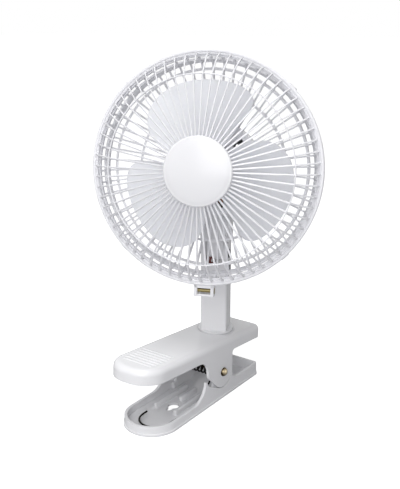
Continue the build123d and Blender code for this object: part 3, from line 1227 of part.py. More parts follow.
# ---------------------------------------------------------------- impeller
HUB_WALL = 2.0
HUB_BOSS_DIAMETER = 9.0
HUB_BOSS_BACK_Z = -12.0
HUB_EDGE_RADIUS = 3.0
BLADE_MIDDLE_Z = -6.0
BLADE_HALF_RISE = 13.0        # along the axis, from a blade's middle to either edge
BLADE_HALF_ANGLE = 47.5
BLADE_CAMBER = 0.06           # of the section's half width
# Distance from the axis and half width of each section
BLADE_SECTIONS = ((14.0, 21.0), (34.0, 40.0), (54.0, 59.0), (76.0, 80.0))
BLADE_CORNERS = (9.0, 16.0)   # rounding of the leading and trailing tip corners


def blade_section(distance, half_width):
    """A cambered section of one blade, square to the line from the axis to the blade's middle."""
    reach = degrees(atan(half_width / distance)) / BLADE_HALF_ANGLE
    rise = BLADE_HALF_RISE * reach
    camber = BLADE_CAMBER * half_width
    half = BLADE_THICKNESS / 2
    with BuildSketch() as section:
        with BuildLine():
            ThreePointArc((-half_width, rise - half), (0, -camber - half), (half_width, -rise - half))
            Line((half_width, -rise - half), (half_width, -rise + half))
            ThreePointArc((half_width, -rise + half), (0, half - camber), (-half_width, rise + half))
            Line((-half_width, rise + half), (-half_width, rise - half))
        make_face()
    return section.sketch


with BuildPart() as blade:
    for distance, half_width in BLADE_SECTIONS:
        with BuildSketch(Plane(origin=(0, distance, BLADE_MIDDLE_Z), x_dir=(1, 0, 0), z_dir=(0, -1, 0))):
            add(blade_section(distance, half_width))
    loft()
    with BuildSketch(Plane.XY.offset(BLADE_MIDDLE_Z - 2 * BLADE_HALF_RISE)) as planform:
        with BuildLine():
            edge_x = BLADE_TIP_RADIUS * sin(radians(BLADE_HALF_ANGLE))
            edge_y = BLADE_TIP_RADIUS * cos(radians(BLADE_HALF_ANGLE))
            Line((0, 0), (-edge_x, edge_y))
            ThreePointArc((-edge_x, edge_y), (0, BLADE_TIP_RADIUS), (edge_x, edge_y))
            Line((edge_x, edge_y), (0, 0))
        make_face()
        fillet(near(planform.vertices(), (-edge_x, edge_y)), BLADE_CORNERS[0])
        fillet(near(planform.vertices(), (edge_x, edge_y)), BLADE_CORNERS[1])
        Circle(HUB_RADIUS - HUB_WALL / 2, mode=Mode.SUBTRACT)
    extrude(amount=4 * BLADE_HALF_RISE, mode=Mode.INTERSECT)

with BuildPart(head) as impeller:
    with PolarLocations(0, BLADE_COUNT, start_angle=BLADE_START):
        add(blade.part)
    with BuildSketch(head_half) as hub_profile:
        with BuildLine():
            Polyline((0, HUB_FRONT_Z), (HUB_RADIUS, HUB_FRONT_Z), (HUB_RADIUS, HUB_BACK_Z),
                     (HUB_RADIUS - HUB_WALL, HUB_BACK_Z), (HUB_RADIUS - HUB_WALL, HUB_FRONT_Z - HUB_WALL),
                     (HUB_BOSS_DIAMETER / 2, HUB_FRONT_Z - HUB_WALL),
                     (HUB_BOSS_DIAMETER / 2, HUB_BOSS_BACK_Z), (0, HUB_BOSS_BACK_Z), close=True)
        make_face()
        fillet(near(hub_profile.vertices(), (HUB_RADIUS, HUB_FRONT_Z)), HUB_EDGE_RADIUS)
    revolve(axis=head_axis)
    with BuildSketch(head.offset(HUB_BOSS_BACK_Z)):
        Circle(SHAFT_DIAMETER / 2)
    extrude(amount=SHAFT_FRONT_Z - HUB_BOSS_BACK_Z, mode=Mode.SUBTRACT)
save(impeller.part, "impeller")
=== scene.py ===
# %% [markdown]
# # A clip fan, dressed for its picture
#
# The fan is a sprung plastic clip, a swivelling post and a round cage with three blades in it. Its
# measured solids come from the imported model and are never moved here. This lesson gives them their
# finishes, and models anew the pieces whose rounded form the picture shows: the front grille, the cap,
# the impeller, the rivet, the ridges and rails, the motor's leads and the spring.

import json
import math

import bpy
from mathutils import Matrix, Vector


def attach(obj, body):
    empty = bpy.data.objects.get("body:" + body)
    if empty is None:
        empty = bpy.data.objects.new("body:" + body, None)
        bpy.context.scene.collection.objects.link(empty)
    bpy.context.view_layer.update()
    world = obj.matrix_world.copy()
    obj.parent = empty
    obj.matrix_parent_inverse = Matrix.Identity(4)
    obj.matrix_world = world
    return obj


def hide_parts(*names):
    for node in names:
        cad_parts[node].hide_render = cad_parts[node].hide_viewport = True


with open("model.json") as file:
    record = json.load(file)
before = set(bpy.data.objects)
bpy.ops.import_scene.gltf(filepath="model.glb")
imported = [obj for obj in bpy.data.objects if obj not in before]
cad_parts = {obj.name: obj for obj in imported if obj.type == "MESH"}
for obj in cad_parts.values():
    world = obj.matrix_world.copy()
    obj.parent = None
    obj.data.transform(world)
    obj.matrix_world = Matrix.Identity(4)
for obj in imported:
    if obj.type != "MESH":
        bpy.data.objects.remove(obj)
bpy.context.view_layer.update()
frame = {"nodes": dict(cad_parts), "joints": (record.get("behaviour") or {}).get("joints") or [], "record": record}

# %% [markdown]
# ## The camera
#
# The camera was fitted to the cage's circle, the upright post and the level base, so it is written down
# as a place and a way of looking. The lens follows from the picture's width in pixels. It comes first,
# because every later look at a detail is through it.

# %% Camera
MM = 0.001
PICTURE_WIDTH = 400           # pixels
FOCAL_PIXELS = 746.76         # the distance from lens to picture, in pixels
SENSOR = 36.0                 # the width in millimetres that Blender states its lenses for
CAMERA_PLACE = Vector((351.92, -513.14, 318.79)) * MM
CAMERA_WAY = Vector((-0.559119, 0.776951, -0.289366))

camera = bpy.data.objects.new("camera", bpy.data.cameras.new("camera"))
bpy.context.scene.collection.objects.link(camera)
camera.location = CAMERA_PLACE
camera.rotation_euler = CAMERA_WAY.to_track_quat("-Z", "Y").to_euler()
camera.data.sensor_fit = "HORIZONTAL"
camera.data.sensor_width = SENSOR
camera.data.lens = SENSOR * FOCAL_PIXELS / PICTURE_WIDTH
bpy.context.scene.camera = camera
print("lens:", round(camera.data.lens, 1), "mm")

# %% [markdown]
# ## Frames to model in
#
# The head looks a little upwards and sideways, so its round pieces are easiest to model about a plain
# upright axis and to put in place afterwards. The fan's own joint says where that axis is. The post has
# a frame of its own too: turned on the clip, but upright. The clip lies square to the model's own axes.

# %% The head's, the post's and the clip's frames
joints = {joint["name"]: joint for joint in frame["joints"]}
hinge = Vector(joints["clip_hinge"]["pos_m"])
head_centre = Vector(joints["fan_spin"]["pos_m"])
head_forward = Vector(joints["fan_spin"]["axis"]).normalized()
upwards = Vector((0, 0, 1))
head_side = upwards.cross(head_forward).normalized()
head_up = head_forward.cross(head_side)
head_turn = Matrix((head_side, head_up, head_forward)).transposed().to_4x4()
head_pose = Matrix.Translation(head_centre) @ head_turn
post_pose = Matrix((head_side, upwards.cross(head_side), upwards)).transposed().to_4x4()
clip_pose = Matrix.Identity(4)
print("the head looks up by", round(math.degrees(math.asin(head_forward.z)), 1), "degrees")

# %% [markdown]
# ## Colours and nodes
#
# Colours are written as they look on a screen, in hex, and one function turns them into the linear
# values that the renderer works in. One more small function adds a node with its settings and its
# links, so that each material below reads as a short list of what it is made of.

# %% Helpers for materials
def linear(colour):
    """A screen colour such as #f2f2f4 as linear red, green, blue and alpha."""
    channels = [int(colour[i:i + 2], 16) / 255 for i in (1, 3, 5)]
    return [c / 12.92 if c <= 0.04045 else ((c + 0.055) / 1.055) ** 2.4 for c in channels] + [1.0]


def per_mm(size):
    """A texture's scale for a pattern of that size in millimetres."""
    return 1 / (size * MM)


def add_node(tree, kind, inputs=None, **settings):
    """Add a node. Each input is given by name or number, as a value or as the socket to link to it."""
    node = tree.nodes.new(kind)
    for name, value in settings.items():
        setattr(node, name, value)
    for name, value in (inputs or {}).items():
        if isinstance(value, bpy.types.NodeSocket):
            tree.links.new(value, node.inputs[name])
        else:
            node.inputs[name].default_value = value
    return node


def new_material(name):
    """A material with its tree, its shader, and the object coordinates that its patterns use."""
    material = bpy.data.materials.new(name)
    material.use_nodes = True
    tree = material.node_tree
    place = add_node(tree, "ShaderNodeTexCoord").outputs["Object"]
    return material, tree, tree.nodes["Principled BSDF"], place


print("screen grey #808080 is", round(linear("#808080")[0], 3), "in linear light")

# %% [markdown]
# ## Moulded plastics
#
# Nearly all that shows is injection-moulded plastic. Such a surface is even in colour, but its gloss
# wanders a little where the melt cooled unevenly, and it has a faint ripple like orange peel. The
# mould's parting edges are never sharp, so a bevel node rounds the shading of the measured solids'
# edges. One function makes every grade of it; what differs is colour, gloss and the size of the ripple.

# %% Moulded plastic
EDGE_MM = 0.45                # the round on a moulded edge
DRIFT_MM = 45                 # size of the patches in which colour and gloss wander
GLOSS_DRIFT = 0.05            # roughness that they add or take away
PLASTIC_IOR = 1.5
COAT_ROUGHNESS = 0.07         # of the skin that a polished mould leaves
GLOW_MM = (3.0, 3.0, 3.5)     # how far red, green and blue light get in milky plastic


def moulded_plastic(name, colour, cloud, roughness, ripple_mm=2.5, ripple=0.02, subsurface=0.0, coat=0.0,
                    edge_mm=EDGE_MM):
    """Plastic whose colour drifts towards cloud over some centimetres."""
    material, tree, shader, place = new_material(name)
    drift = add_node(tree, "ShaderNodeTexNoise", {"Vector": place, "Scale": per_mm(DRIFT_MM), "Detail": 3.0})
    tint = add_node(tree, "ShaderNodeMix", {"Factor": drift.outputs["Fac"], "A": linear(colour),
                                           "B": linear(cloud)}, data_type="RGBA")
    gloss = add_node(tree, "ShaderNodeMapRange", {"Value": drift.outputs["Fac"],
                                                 "To Min": roughness - GLOSS_DRIFT,
                                                 "To Max": roughness + GLOSS_DRIFT})
    peel = add_node(tree, "ShaderNodeTexNoise", {"Vector": place, "Scale": per_mm(ripple_mm), "Detail": 2.0})
    edges = add_node(tree, "ShaderNodeBevel", {"Radius": edge_mm * MM}, samples=8)
    bump = add_node(tree, "ShaderNodeBump", {"Height": peel.outputs["Fac"], "Distance": ripple * MM,
                                            "Normal": edges.outputs["Normal"]})
    tree.links.new(tint.outputs["Result"], shader.inputs["Base Color"])
    tree.links.new(gloss.outputs["Result"], shader.inputs["Roughness"])
    tree.links.new(bump.outputs["Normal"], shader.inputs["Normal"])
    shader.inputs["IOR"].default_value = PLASTIC_IOR
    if subsurface:
        shader.inputs["Subsurface Weight"].default_value = subsurface
        shader.inputs["Subsurface Radius"].default_value = [depth * MM for depth in GLOW_MM]
        shader.inputs["Subsurface Scale"].default_value = 1.0
    if coat:
        shader.inputs["Coat Weight"].default_value = coat
        shader.inputs["Coat Roughness"].default_value = COAT_ROUGHNESS
    return material


# Polystyrene of the clip, post and housing: satin, with the faintest cool cast and generous edges
white_polystyrene = moulded_plastic("white_polystyrene", "#f1f1f3", "#ebebee", 0.17, edge_mm=0.8)
# Polypropylene of the cage: a little waxier, so its highlights are broad
cage_polypropylene = moulded_plastic("cage_polypropylene", "#f2f2f5", "#ececf0", 0.34, ripple_mm=1.6)
# ABS of the cap, from a polished mould: glossy over a long, slow ripple
cap_abs = moulded_plastic("cap_abs", "#ededf0", "#e8e8eb", 0.24, ripple_mm=9.0, ripple=0.05, coat=0.2)
# Milky styrene-acrylonitrile of the blades, which lets a little light into itself
blade_styrene = moulded_plastic("blade_styrene", "#eeeff3", "#e7e8ed", 0.33, ripple_mm=4.0, subsurface=0.25)
# Textured ABS of the switch knob: a fine grain takes its shine away
grey_abs = moulded_plastic("grey_abs", "#6d6f72", "#606265", 0.55, ripple_mm=0.5, ripple=0.06)
# Pressed phenolic of switch body and bobbin: nearly black and dull
dark_phenolic = moulded_plastic("dark_phenolic", "#2b2b2c", "#232325", 0.5, ripple_mm=0.7, ripple=0.04)
# Soft rubber of the grommet: matt, with hardly a highlight
grommet_rubber = moulded_plastic("grommet_rubber", "#e4e3e0", "#d9d8d4", 0.65, ripple_mm=0.6, ripple=0.05)
# Nylon of the thrust washers: creamy and softly shining
washer_nylon = moulded_plastic("washer_nylon", "#e8e6de", "#dedbd0", 0.45)
# Extruded PVC round the motor's leads: a dull red-brown
lead_pvc = moulded_plastic("lead_pvc", "#7d3a32", "#5e2a22", 0.4, ripple_mm=0.8)
print("plastics made")

# %% [markdown]
# ## Metals
#
# The metals are small but catch the eye: a brass-plated rivet, a screw yellow from its passivation, a
# black bolt, a dark spring. Each has fine marks from how it was made, and on the motor's stack of sheets
# they are closer one way than the other. The rivet's dome gets a painted highlight, bright about a point
# by its crown, and painted shade, nearly black, round its foot. The marks only soften a highlight at this
# size in the picture, so they are drawn coarser than real.

# %% Metal
STAIN_MM = 3.0                # size of the stained patches
PAINTED_HIGHLIGHT_MM = (0.6, 3.6)        # painted highlight within the first distance, painted shade past the second
GLOSS_SPREAD = (-0.08, 0.1)   # roughness between the marks and in them
METAL_EDGE_MM = 0.2


def worked_metal(name, colour, stain_or_shade, roughness, marks_mm=0.4, marks=0.02, stretch=(1, 1, 1), highlight_centre=None):
    """Metal with fine working marks, stained in patches, or given a painted highlight about a point and painted
    shade further off.
    """
    material, tree, shader, place = new_material(name)
    # With a highlight centre the colour is painted light: a painted highlight near it, painted shade further off
    if highlight_centre:
        away = add_node(tree, "ShaderNodeVectorMath", {0: place, 1: highlight_centre}, operation="DISTANCE")
        share = add_node(tree, "ShaderNodeMapRange", {"Value": away.outputs["Value"],
                                                     "From Min": PAINTED_HIGHLIGHT_MM[0] * MM,
                                                     "From Max": PAINTED_HIGHLIGHT_MM[1] * MM}).outputs["Result"]
    else:
        share = add_node(tree, "ShaderNodeTexNoise", {"Vector": place, "Scale": per_mm(STAIN_MM),
                                                     "Detail": 4.0}).outputs["Fac"]
    tint = add_node(tree, "ShaderNodeMix", {"Factor": share, "A": linear(colour), "B": linear(stain_or_shade)},
                    data_type="RGBA")
    along = add_node(tree, "ShaderNodeMapping", {"Vector": place, "Scale": stretch})
    lines = add_node(tree, "ShaderNodeTexNoise", {"Vector": along.outputs["Vector"],
                                                 "Scale": per_mm(marks_mm), "Detail": 3.0})
    gloss = add_node(tree, "ShaderNodeMapRange", {"Value": lines.outputs["Fac"],
                                                 "To Min": roughness + GLOSS_SPREAD[0],
                                                 "To Max": roughness + GLOSS_SPREAD[1]})
    edges = add_node(tree, "ShaderNodeBevel", {"Radius": METAL_EDGE_MM * MM}, samples=4)
    bump = add_node(tree, "ShaderNodeBump", {"Height": lines.outputs["Fac"], "Distance": marks * MM,
                                            "Normal": edges.outputs["Normal"]})
    tree.links.new(tint.outputs["Result"], shader.inputs["Base Color"])
    tree.links.new(gloss.outputs["Result"], shader.inputs["Roughness"])
    tree.links.new(bump.outputs["Normal"], shader.inputs["Normal"])
    shader.inputs["Metallic"].default_value = 1.0
    return material


# Brass plate on the rivet, with a painted highlight bright about a point by its crown and painted shade, nearly
# black, round its foot
rivet_highlight_centre = hinge + Vector((26.6, -0.9, 0.9)) * MM
rivet_brass = worked_metal("rivet_brass", "#ead9b6", "#3d311f", 0.2, highlight_centre=rivet_highlight_centre)
# Yellow-passivated zinc on the cage's screw: a greenish straw colour
yellow_zinc = worked_metal("yellow_zinc", "#a89a70", "#7d7452", 0.34)
# Black oxide on the tilt bolt and its nut: oily black with a low shine
black_oxide = worked_metal("black_oxide", "#2a2a2b", "#1d1d1e", 0.4)
# Drawn and oil-hardened wire of the spring: dark and dull, so it reads as a line
spring_wire = worked_metal("spring_wire", "#2d2b2a", "#1f1d1c", 0.5, marks_mm=0.8)
# Clear-passivated zinc on the hidden screws and the swivel's washer: bright and faintly blue
bright_zinc = worked_metal("bright_zinc", "#c2c5c9", "#a9adb2", 0.3)
# Stamped electrical steel of the motor's stack and rotor: plain grey, its marks drawn finer one way
lamination_steel = worked_metal("lamination_steel", "#8d8e90", "#6f7073", 0.5, stretch=(1, 1, 4))
# Enamelled copper of the coil: orange-brown and glossy
winding_copper = worked_metal("winding_copper", "#b06a3c", "#8a4d2a", 0.32, marks_mm=0.5, marks=0.05)
# Die-cast zinc of the motor's brackets: grainy pale grey
die_cast_zinc = worked_metal("die_cast_zinc", "#b6b7b9", "#9c9da0", 0.55, marks_mm=0.9, marks=0.05)
# Ground steel of the shaft: smooth and bright
ground_steel = worked_metal("ground_steel", "#c9cacc", "#b4b6b9", 0.22)
# Oil-soaked sintered bronze of the bearings: brown and porous
oiled_bronze = worked_metal("oiled_bronze", "#a8834f", "#7d5f38", 0.45)
print("metals made")

# %% [markdown]
# ## Finishes on the measured solids
#
# The record names a finish for every measured solid. Most keep their own shape here and only swap
# their plain colour for the material made above. The record calls clip and cage both white plastic,
# so the rear half of the cage is given its waxier grade by name.

# %% Give each solid its material
finishes = {
    "white_plastic": white_polystyrene, "cap_plastic": cap_abs, "blade_plastic": blade_styrene,
    "grey_plastic": grey_abs, "dark_plastic": dark_phenolic, "grommet_rubber": grommet_rubber,
    "lead_insulation": lead_pvc, "brass_rivet": rivet_brass, "yellow_zinc": yellow_zinc,
    "black_steel": black_oxide, "spring_steel": spring_wire, "zinc_steel": bright_zinc,
    "laminated_steel": lamination_steel, "copper_wire": winding_copper, "die_cast": die_cast_zinc,
    "ground_steel": ground_steel, "sintered_bronze": oiled_bronze, "nylon": washer_nylon,
}
finish_of = {part["node"]: finishes[part["material_slot"]] for part in frame["record"]["subparts"]}
finish_of["rear_grille"] = cage_polypropylene
for node_name, node in frame["nodes"].items():
    for holder in node.material_slots:
        holder.material = finish_of[node_name]
print(len(finish_of), "solids finished")

# %% [markdown]
# ## Selecting, adding and cleaning
#
# Blender's operators act on what is selected, and the measured solids come in selected. So a piece is
# always made the only one selected before anything is done to it. Points that a spin leaves double are
# merged, and the faces are turned outwards before the edges are smoothed. A finished piece gets its place
# in its mesh, as every measured solid has it, and is told which body of the model it rides on.

# %% Helpers for any piece
def alone(piece):
    """Make a piece the only one selected."""
    bpy.ops.object.select_all(action="DESELECT")
    piece.select_set(True)
    bpy.context.view_layer.objects.active = piece


def fresh(name, add, **settings):
    """Add a primitive with nothing else selected."""
    bpy.ops.object.select_all(action="DESELECT")
    add(**settings)
    bpy.context.object.name = name
    bpy.context.object.data.name = name
    return bpy.context.object


def tidy_faces(piece, smooth=35.0):
    """Merge what lies in one place, turn all faces outwards and smooth all but the sharp edges."""
    alone(piece)
    bpy.ops.object.mode_set(mode="EDIT")
    bpy.ops.mesh.select_all(action="SELECT")
    bpy.ops.mesh.remove_doubles(threshold=0.002 * MM)
    bpy.ops.mesh.normals_make_consistent(inside=False)
    bpy.ops.object.mode_set(mode="OBJECT")
    bpy.ops.object.shade_smooth_by_angle(angle=math.radians(smooth))


def join(name, pieces):
    """One object from several."""
    alone(pieces[0])
    for piece in pieces:
        piece.select_set(True)
    bpy.ops.object.join()
    bpy.context.object.name = name
    bpy.context.object.data.name = name
    return bpy.context.object


def settle(piece, pose, body, slot, material, *replaced):
    """Put a finished piece in its place, in its mesh, give it its material, tie it to its body and hide the solids
    it replaces.
    """
    alone(piece)
    piece.matrix_world = pose
    bpy.ops.object.transform_apply(location=True, rotation=True, scale=True)
    piece.data.materials.clear()
    piece.data.materials.append(material)
    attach(piece, body)
    if replaced:
        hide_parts(*replaced)
    print(piece.name, "rides on", body + ",", len(piece.data.polygons), "faces")


# %% [markdown]
# ## Turned pieces
#
# Rim, cap, hub and rivet are pieces that a lathe could turn. Each is a profile drawn point by point, by
# extruding a vertex, and spun round the upright axis. It is made about the origin, where round means
# round about Z, and settled in its place last. A moulded corner is never sharp, so a second function
# rounds the profile's corners first.

# %% Helpers for the lathe
ROUND_STEPS = 160             # flats round the largest pieces


def draw_line(name, points):
    """A line of edges through points in millimetres, by extruding a vertex; left open in edit mode."""
    places = [Vector(point) * MM for point in points]
    piece = fresh(name, bpy.ops.mesh.primitive_plane_add, size=MM)
    bpy.ops.object.mode_set(mode="EDIT")
    bpy.ops.mesh.select_all(action="SELECT")
    bpy.ops.mesh.merge(type="CENTER")
    bpy.ops.transform.translate(value=places[0])
    for here, there in zip(places, places[1:]):
        bpy.ops.mesh.extrude_region_move(TRANSFORM_OT_translate={"value": there - here})
    bpy.ops.mesh.select_all(action="SELECT")
    return piece


def lathe(name, profile, closed=False, steps=ROUND_STEPS):
    """Spin a profile of (radius, height) points in millimetres round the upright axis."""
    points = [(radius, 0, height) for radius, height in profile]
    piece = draw_line(name, points + points[:1] if closed else points)
    bpy.ops.mesh.spin(steps=steps, angle=2 * math.pi, center=(0, 0, 0), axis=(0, 0, 1))
    bpy.ops.object.mode_set(mode="OBJECT")
    tidy_faces(piece)
    return piece


def rounded(corners, radius, steps=3):
    """A closed profile with its corners rounded."""
    points = []
    for before, corner, after in zip(corners[-1:] + corners[:-1], corners, corners[1:] + corners[:1]):
        corner = Vector(corner)
        start = corner + (Vector(before) - corner).normalized() * radius
        end = corner + (Vector(after) - corner).normalized() * radius
        for step in range(steps + 1):
            way = step / steps
            points.append(start * (1 - way) ** 2 + corner * 2 * way * (1 - way) + end * way ** 2)
    return [tuple(point) for point in points]


print("a turned piece has", ROUND_STEPS, "flats, or fewer where it is small")

# %% [markdown]
# ## The front grille
#
# The picture is mostly this piece: a moulded cage of 64 thin ribs that run out from a small disc, bend
# back at a thin hoop and end in the rim. The measured solid has square ribs; a real rib is rounded,
# because a sharp one would stay in its mould, and that is what softens its light. So one rib is drawn as
# a rounded face that is extruded along its bends, moved on and turned at each, and it is then spun as
# copies round the fan's axis. The rim, the hoop and the disc are lathe work, and the tabs and the latch
# are blocks with rounded edges.

# %% One rib
RIB_START = (23.6, 28.1)      # radius and height along the fan's axis
RIB_BENDS = ((72.5, 22.2), (86.9, 7.6))
RIB_END = (88.9, 0.8)
RIB_HALF_WIDTH = 0.58
RIB_HALF_DEPTH = 1.1
RIB_SIDES = 8
BEND_RADIUS = 7.0
BEND_STEPS = 3


def draw_rib(name, corners):
    """A bar along X that follows its corners, from a rounded face extruded and turned at each bend."""
    points = [Vector((radius, 0, height)) for radius, height in corners]
    ways = [(there - here).normalized() for here, there in zip(points, points[1:])]
    piece = fresh(name, bpy.ops.mesh.primitive_circle_add, vertices=RIB_SIDES, radius=MM, fill_type="NGON")
    place = Matrix.Translation(points[0] * MM)
    tip = Matrix.Rotation(math.pi / 2 - math.atan2(ways[0].z, ways[0].x), 4, "Y")
    section = Matrix.Diagonal((RIB_HALF_DEPTH, RIB_HALF_WIDTH, 1, 1))
    flat_side = Matrix.Rotation(math.pi / RIB_SIDES, 4, "Z")
    piece.matrix_world = place @ tip @ section @ flat_side
    bpy.ops.object.transform_apply(location=True, rotation=True, scale=True)
    bpy.ops.object.mode_set(mode="EDIT")
    bpy.ops.mesh.select_all(action="SELECT")
    here = points[0]
    for corner, way, onward in zip(points[1:], ways, ways[1:]):
        turn = math.atan2(onward.z, onward.x) - math.atan2(way.z, way.x)
        bend_start = corner - way * (BEND_RADIUS * math.tan(abs(turn) / 2))
        centre = bend_start + Vector((-way.z, 0, way.x)) * math.copysign(BEND_RADIUS, turn)
        for step in range(BEND_STEPS + 1):
            stop = centre + Matrix.Rotation(-turn * step / BEND_STEPS, 3, "Y") @ (bend_start - centre)
            bpy.ops.mesh.extrude_region_move(TRANSFORM_OT_translate={"value": (stop - here) * MM})
            here = stop
            if step:
                bpy.ops.transform.rotate(value=turn / BEND_STEPS, orient_axis="Y",
                                         center_override=stop * MM)
    bpy.ops.mesh.extrude_region_move(TRANSFORM_OT_translate={"value": (points[-1] - here) * MM})
    bpy.ops.object.mode_set(mode="OBJECT")
    return piece


front_ribs = draw_rib("front_ribs", (RIB_START, *RIB_BENDS, RIB_END))
print("one rib:", len(front_ribs.data.polygons), "faces")

# %% All the ribs
RIB_COUNT = 64


def spin_copies(piece, count):
    """Copies of a piece round the upright axis, in one mesh."""
    alone(piece)
    bpy.ops.object.mode_set(mode="EDIT")
    bpy.ops.mesh.select_all(action="SELECT")
    bpy.ops.mesh.spin(steps=count - 1, angle=2 * math.pi * (count - 1) / count, dupli=True,
                      center=(0, 0, 0), axis=(0, 0, 1))
    bpy.ops.object.mode_set(mode="OBJECT")
    tidy_faces(piece, smooth=50.0)


spin_copies(front_ribs, RIB_COUNT)
print("all ribs:", len(front_ribs.data.polygons), "faces")

# %% [markdown]
# ### Rim, hoop and disc
#
# The rim's face slopes a little towards the fan, and a fine groove runs round it, where its outer lip
# meets the ring that carries the ribs. All its corners are rounded, which gives the cage its soft edge
# against the white.

# %% Turned pieces of the grille
RIM = [(88.0, -0.6), (90.7, -0.6), (90.7, -3.9), (92.3, -3.9), (92.3, 1.7), (91.5, 2.6), (90.0, 2.4),
       (89.95, 1.6), (89.45, 1.6), (89.4, 2.15), (88.0, 1.6)]
HOOP = [(71.8, 20.6), (72.8, 20.6), (72.8, 23.4), (71.8, 23.4)]
DISC = [(5.0, 26.6), (26.0, 26.6), (26.0, 29.4), (5.0, 29.4)]
front_rim = lathe("front_rim", rounded(RIM, radius=0.16), closed=True)
front_hoop = lathe("front_hoop", rounded(HOOP, radius=0.35, steps=2), closed=True, steps=128)
front_disc = lathe("front_disc", rounded(DISC, radius=0.4, steps=2), closed=True, steps=96)
print("rim, hoop and disc turned")

# %% [markdown]
# ### Tabs
#
# Four small tabs hook behind the rear grille's rim. Each is two blocks, one outside the rim and one that
# reaches in behind it. A block is a cube stretched between two corners, with its edges bevelled.

# %% Tabs of the grille
TAB_ANGLES = (45, 135, 225, 315)
TAB_HALF_WIDTH = 3.25
TAB_BACK = -6.4               # how far back it reaches, along the fan's axis


def box(name, low, high, edge):
    """A block between two corners in millimetres, with rounded edges."""
    middle = (Vector(low) + Vector(high)) / 2 * MM
    piece = fresh(name, bpy.ops.mesh.primitive_cube_add, size=1, location=middle)
    piece.scale = (Vector(high) - Vector(low)) * MM
    bpy.ops.object.transform_apply()
    bpy.ops.object.mode_set(mode="EDIT")
    bpy.ops.mesh.select_all(action="SELECT")
    bpy.ops.mesh.bevel(offset=edge * MM, segments=3, affect="EDGES")
    bpy.ops.object.mode_set(mode="OBJECT")
    tidy_faces(piece)
    return piece


tabs = []
for angle in TAB_ANGLES:
    outside = box("tab", (90.8, -TAB_HALF_WIDTH, TAB_BACK), (92.9, TAB_HALF_WIDTH, 0.9), edge=0.35)
    hook = box("hook", (89.2, -TAB_HALF_WIDTH, TAB_BACK), (92.2, TAB_HALF_WIDTH, -4.65), edge=0.3)
    tab = join("tab", [outside, hook])
    tab.rotation_euler.z = math.radians(angle)
    bpy.ops.object.transform_apply()
    tabs.append(tab)
print(len(tabs), "tabs made")

# %% [markdown]
# ### Latch
#
# At the bottom, two legs between a bridge and a sill take a screw that lies across them. The screw's
# head sits in a sunk hole in the right leg, which a boolean with a cylinder cuts.

# %% Latch of the grille
LEG_LOW = -101.5              # below the fan's axis
LEG_HIGH = -91.0              # inside the rim
LEG_BACK = -6.5               # along the fan's axis
LEG_FRONT = 1.5
SINK_PLACE = (9.9, -97.0, -2.5)
SINK_RADIUS = 2.7
SINK_DEPTH = 3.0


def apply_modifier(piece, kind, **settings):
    """Add a modifier and apply it at once."""
    alone(piece)
    modifier = piece.modifiers.new("step", kind)
    for name, value in settings.items():
        setattr(modifier, name, value)
    bpy.ops.object.modifier_apply(modifier="step")


left_leg = box("left_leg", (-6.5, LEG_LOW, LEG_BACK), (-3.7, LEG_HIGH, LEG_FRONT), edge=0.4)
right_leg = box("right_leg", (7.2, LEG_LOW, LEG_BACK), (9.8, LEG_HIGH, LEG_FRONT), edge=0.4)
bridge = box("bridge", (-6.0, -94.6, -3.9), (9.3, LEG_HIGH, LEG_FRONT), edge=0.3)
sill = box("sill", (-6.2, -101.4, -5.6), (9.5, -99.6, 0.9), edge=0.4)
sink = fresh("sink", bpy.ops.mesh.primitive_cylinder_add, vertices=32, radius=SINK_RADIUS * MM,
             depth=SINK_DEPTH * MM, location=Vector(SINK_PLACE) * MM, rotation=(0, math.pi / 2, 0))
bpy.ops.object.transform_apply()
apply_modifier(right_leg, "BOOLEAN", operation="DIFFERENCE", object=sink)
bpy.data.objects.remove(sink)
front_grille = join("front_grille_moulding", [front_ribs, front_rim, front_hoop, front_disc, *tabs,
                                              left_leg, right_leg, bridge, sill])
settle(front_grille, head_pose, "head", "white_plastic", cage_polypropylene, "front_grille")

# %% [markdown]
# ## The cap
#
# The cap is a shallow dome that snaps into the grille's disc. Its edge is rounded, and just inside the
# edge a faint step runs round it. Its top is plain.

# %% Cap
CAP = [(0, 33.05), (6, 32.95), (12, 32.6), (17, 32.1), (21, 31.5), (24.2, 30.95), (24.7, 30.7),
       (25.2, 30.75), (25.9, 30.55), (26.4, 30.2), (26.65, 29.8), (26.7, 29.45), (5.0, 29.45), (5.0, 26.4),
       (0, 26.4)]
front_cap = lathe("front_cap_dome", CAP, steps=128)
settle(front_cap, head_pose, "head", "cap_plastic", cap_abs, "front_cap")

# %% [markdown]
# ## The impeller
#
# Seen through the ribs, each of the three blades is a leaf: wide at the hub, with a long round at one
# of its outer corners and a short one at the other. A blade climbs along the axis by the same amount for
# every degree, so it starts as a straight edge that the screw modifier winds into a sheet, which is then
# made thick.

# %% The sheet that a blade is cut from
BLADE_MIDDLE = 101.5          # degrees from the head's side, anticlockwise as seen from the front
BLADE_START = -50.0           # degrees from the blade's middle, where the sheet begins and ends
BLADE_END = 58.0
BLADE_RADII = range(17, 74, 7)
BLADE_HEIGHT = -6.0           # of the blade's middle along the axis
BLADE_CLIMB = 13.0 / 47.5     # per degree
BLADE_THICKNESS = 1.7
BLADE_STEPS = 36


def polar(radius, angle, height):
    """A point in millimetres from its radius, its angle from the blade's middle and its height."""
    turn = math.radians(BLADE_MIDDLE + angle)
    return (radius * math.cos(turn), radius * math.sin(turn), height)


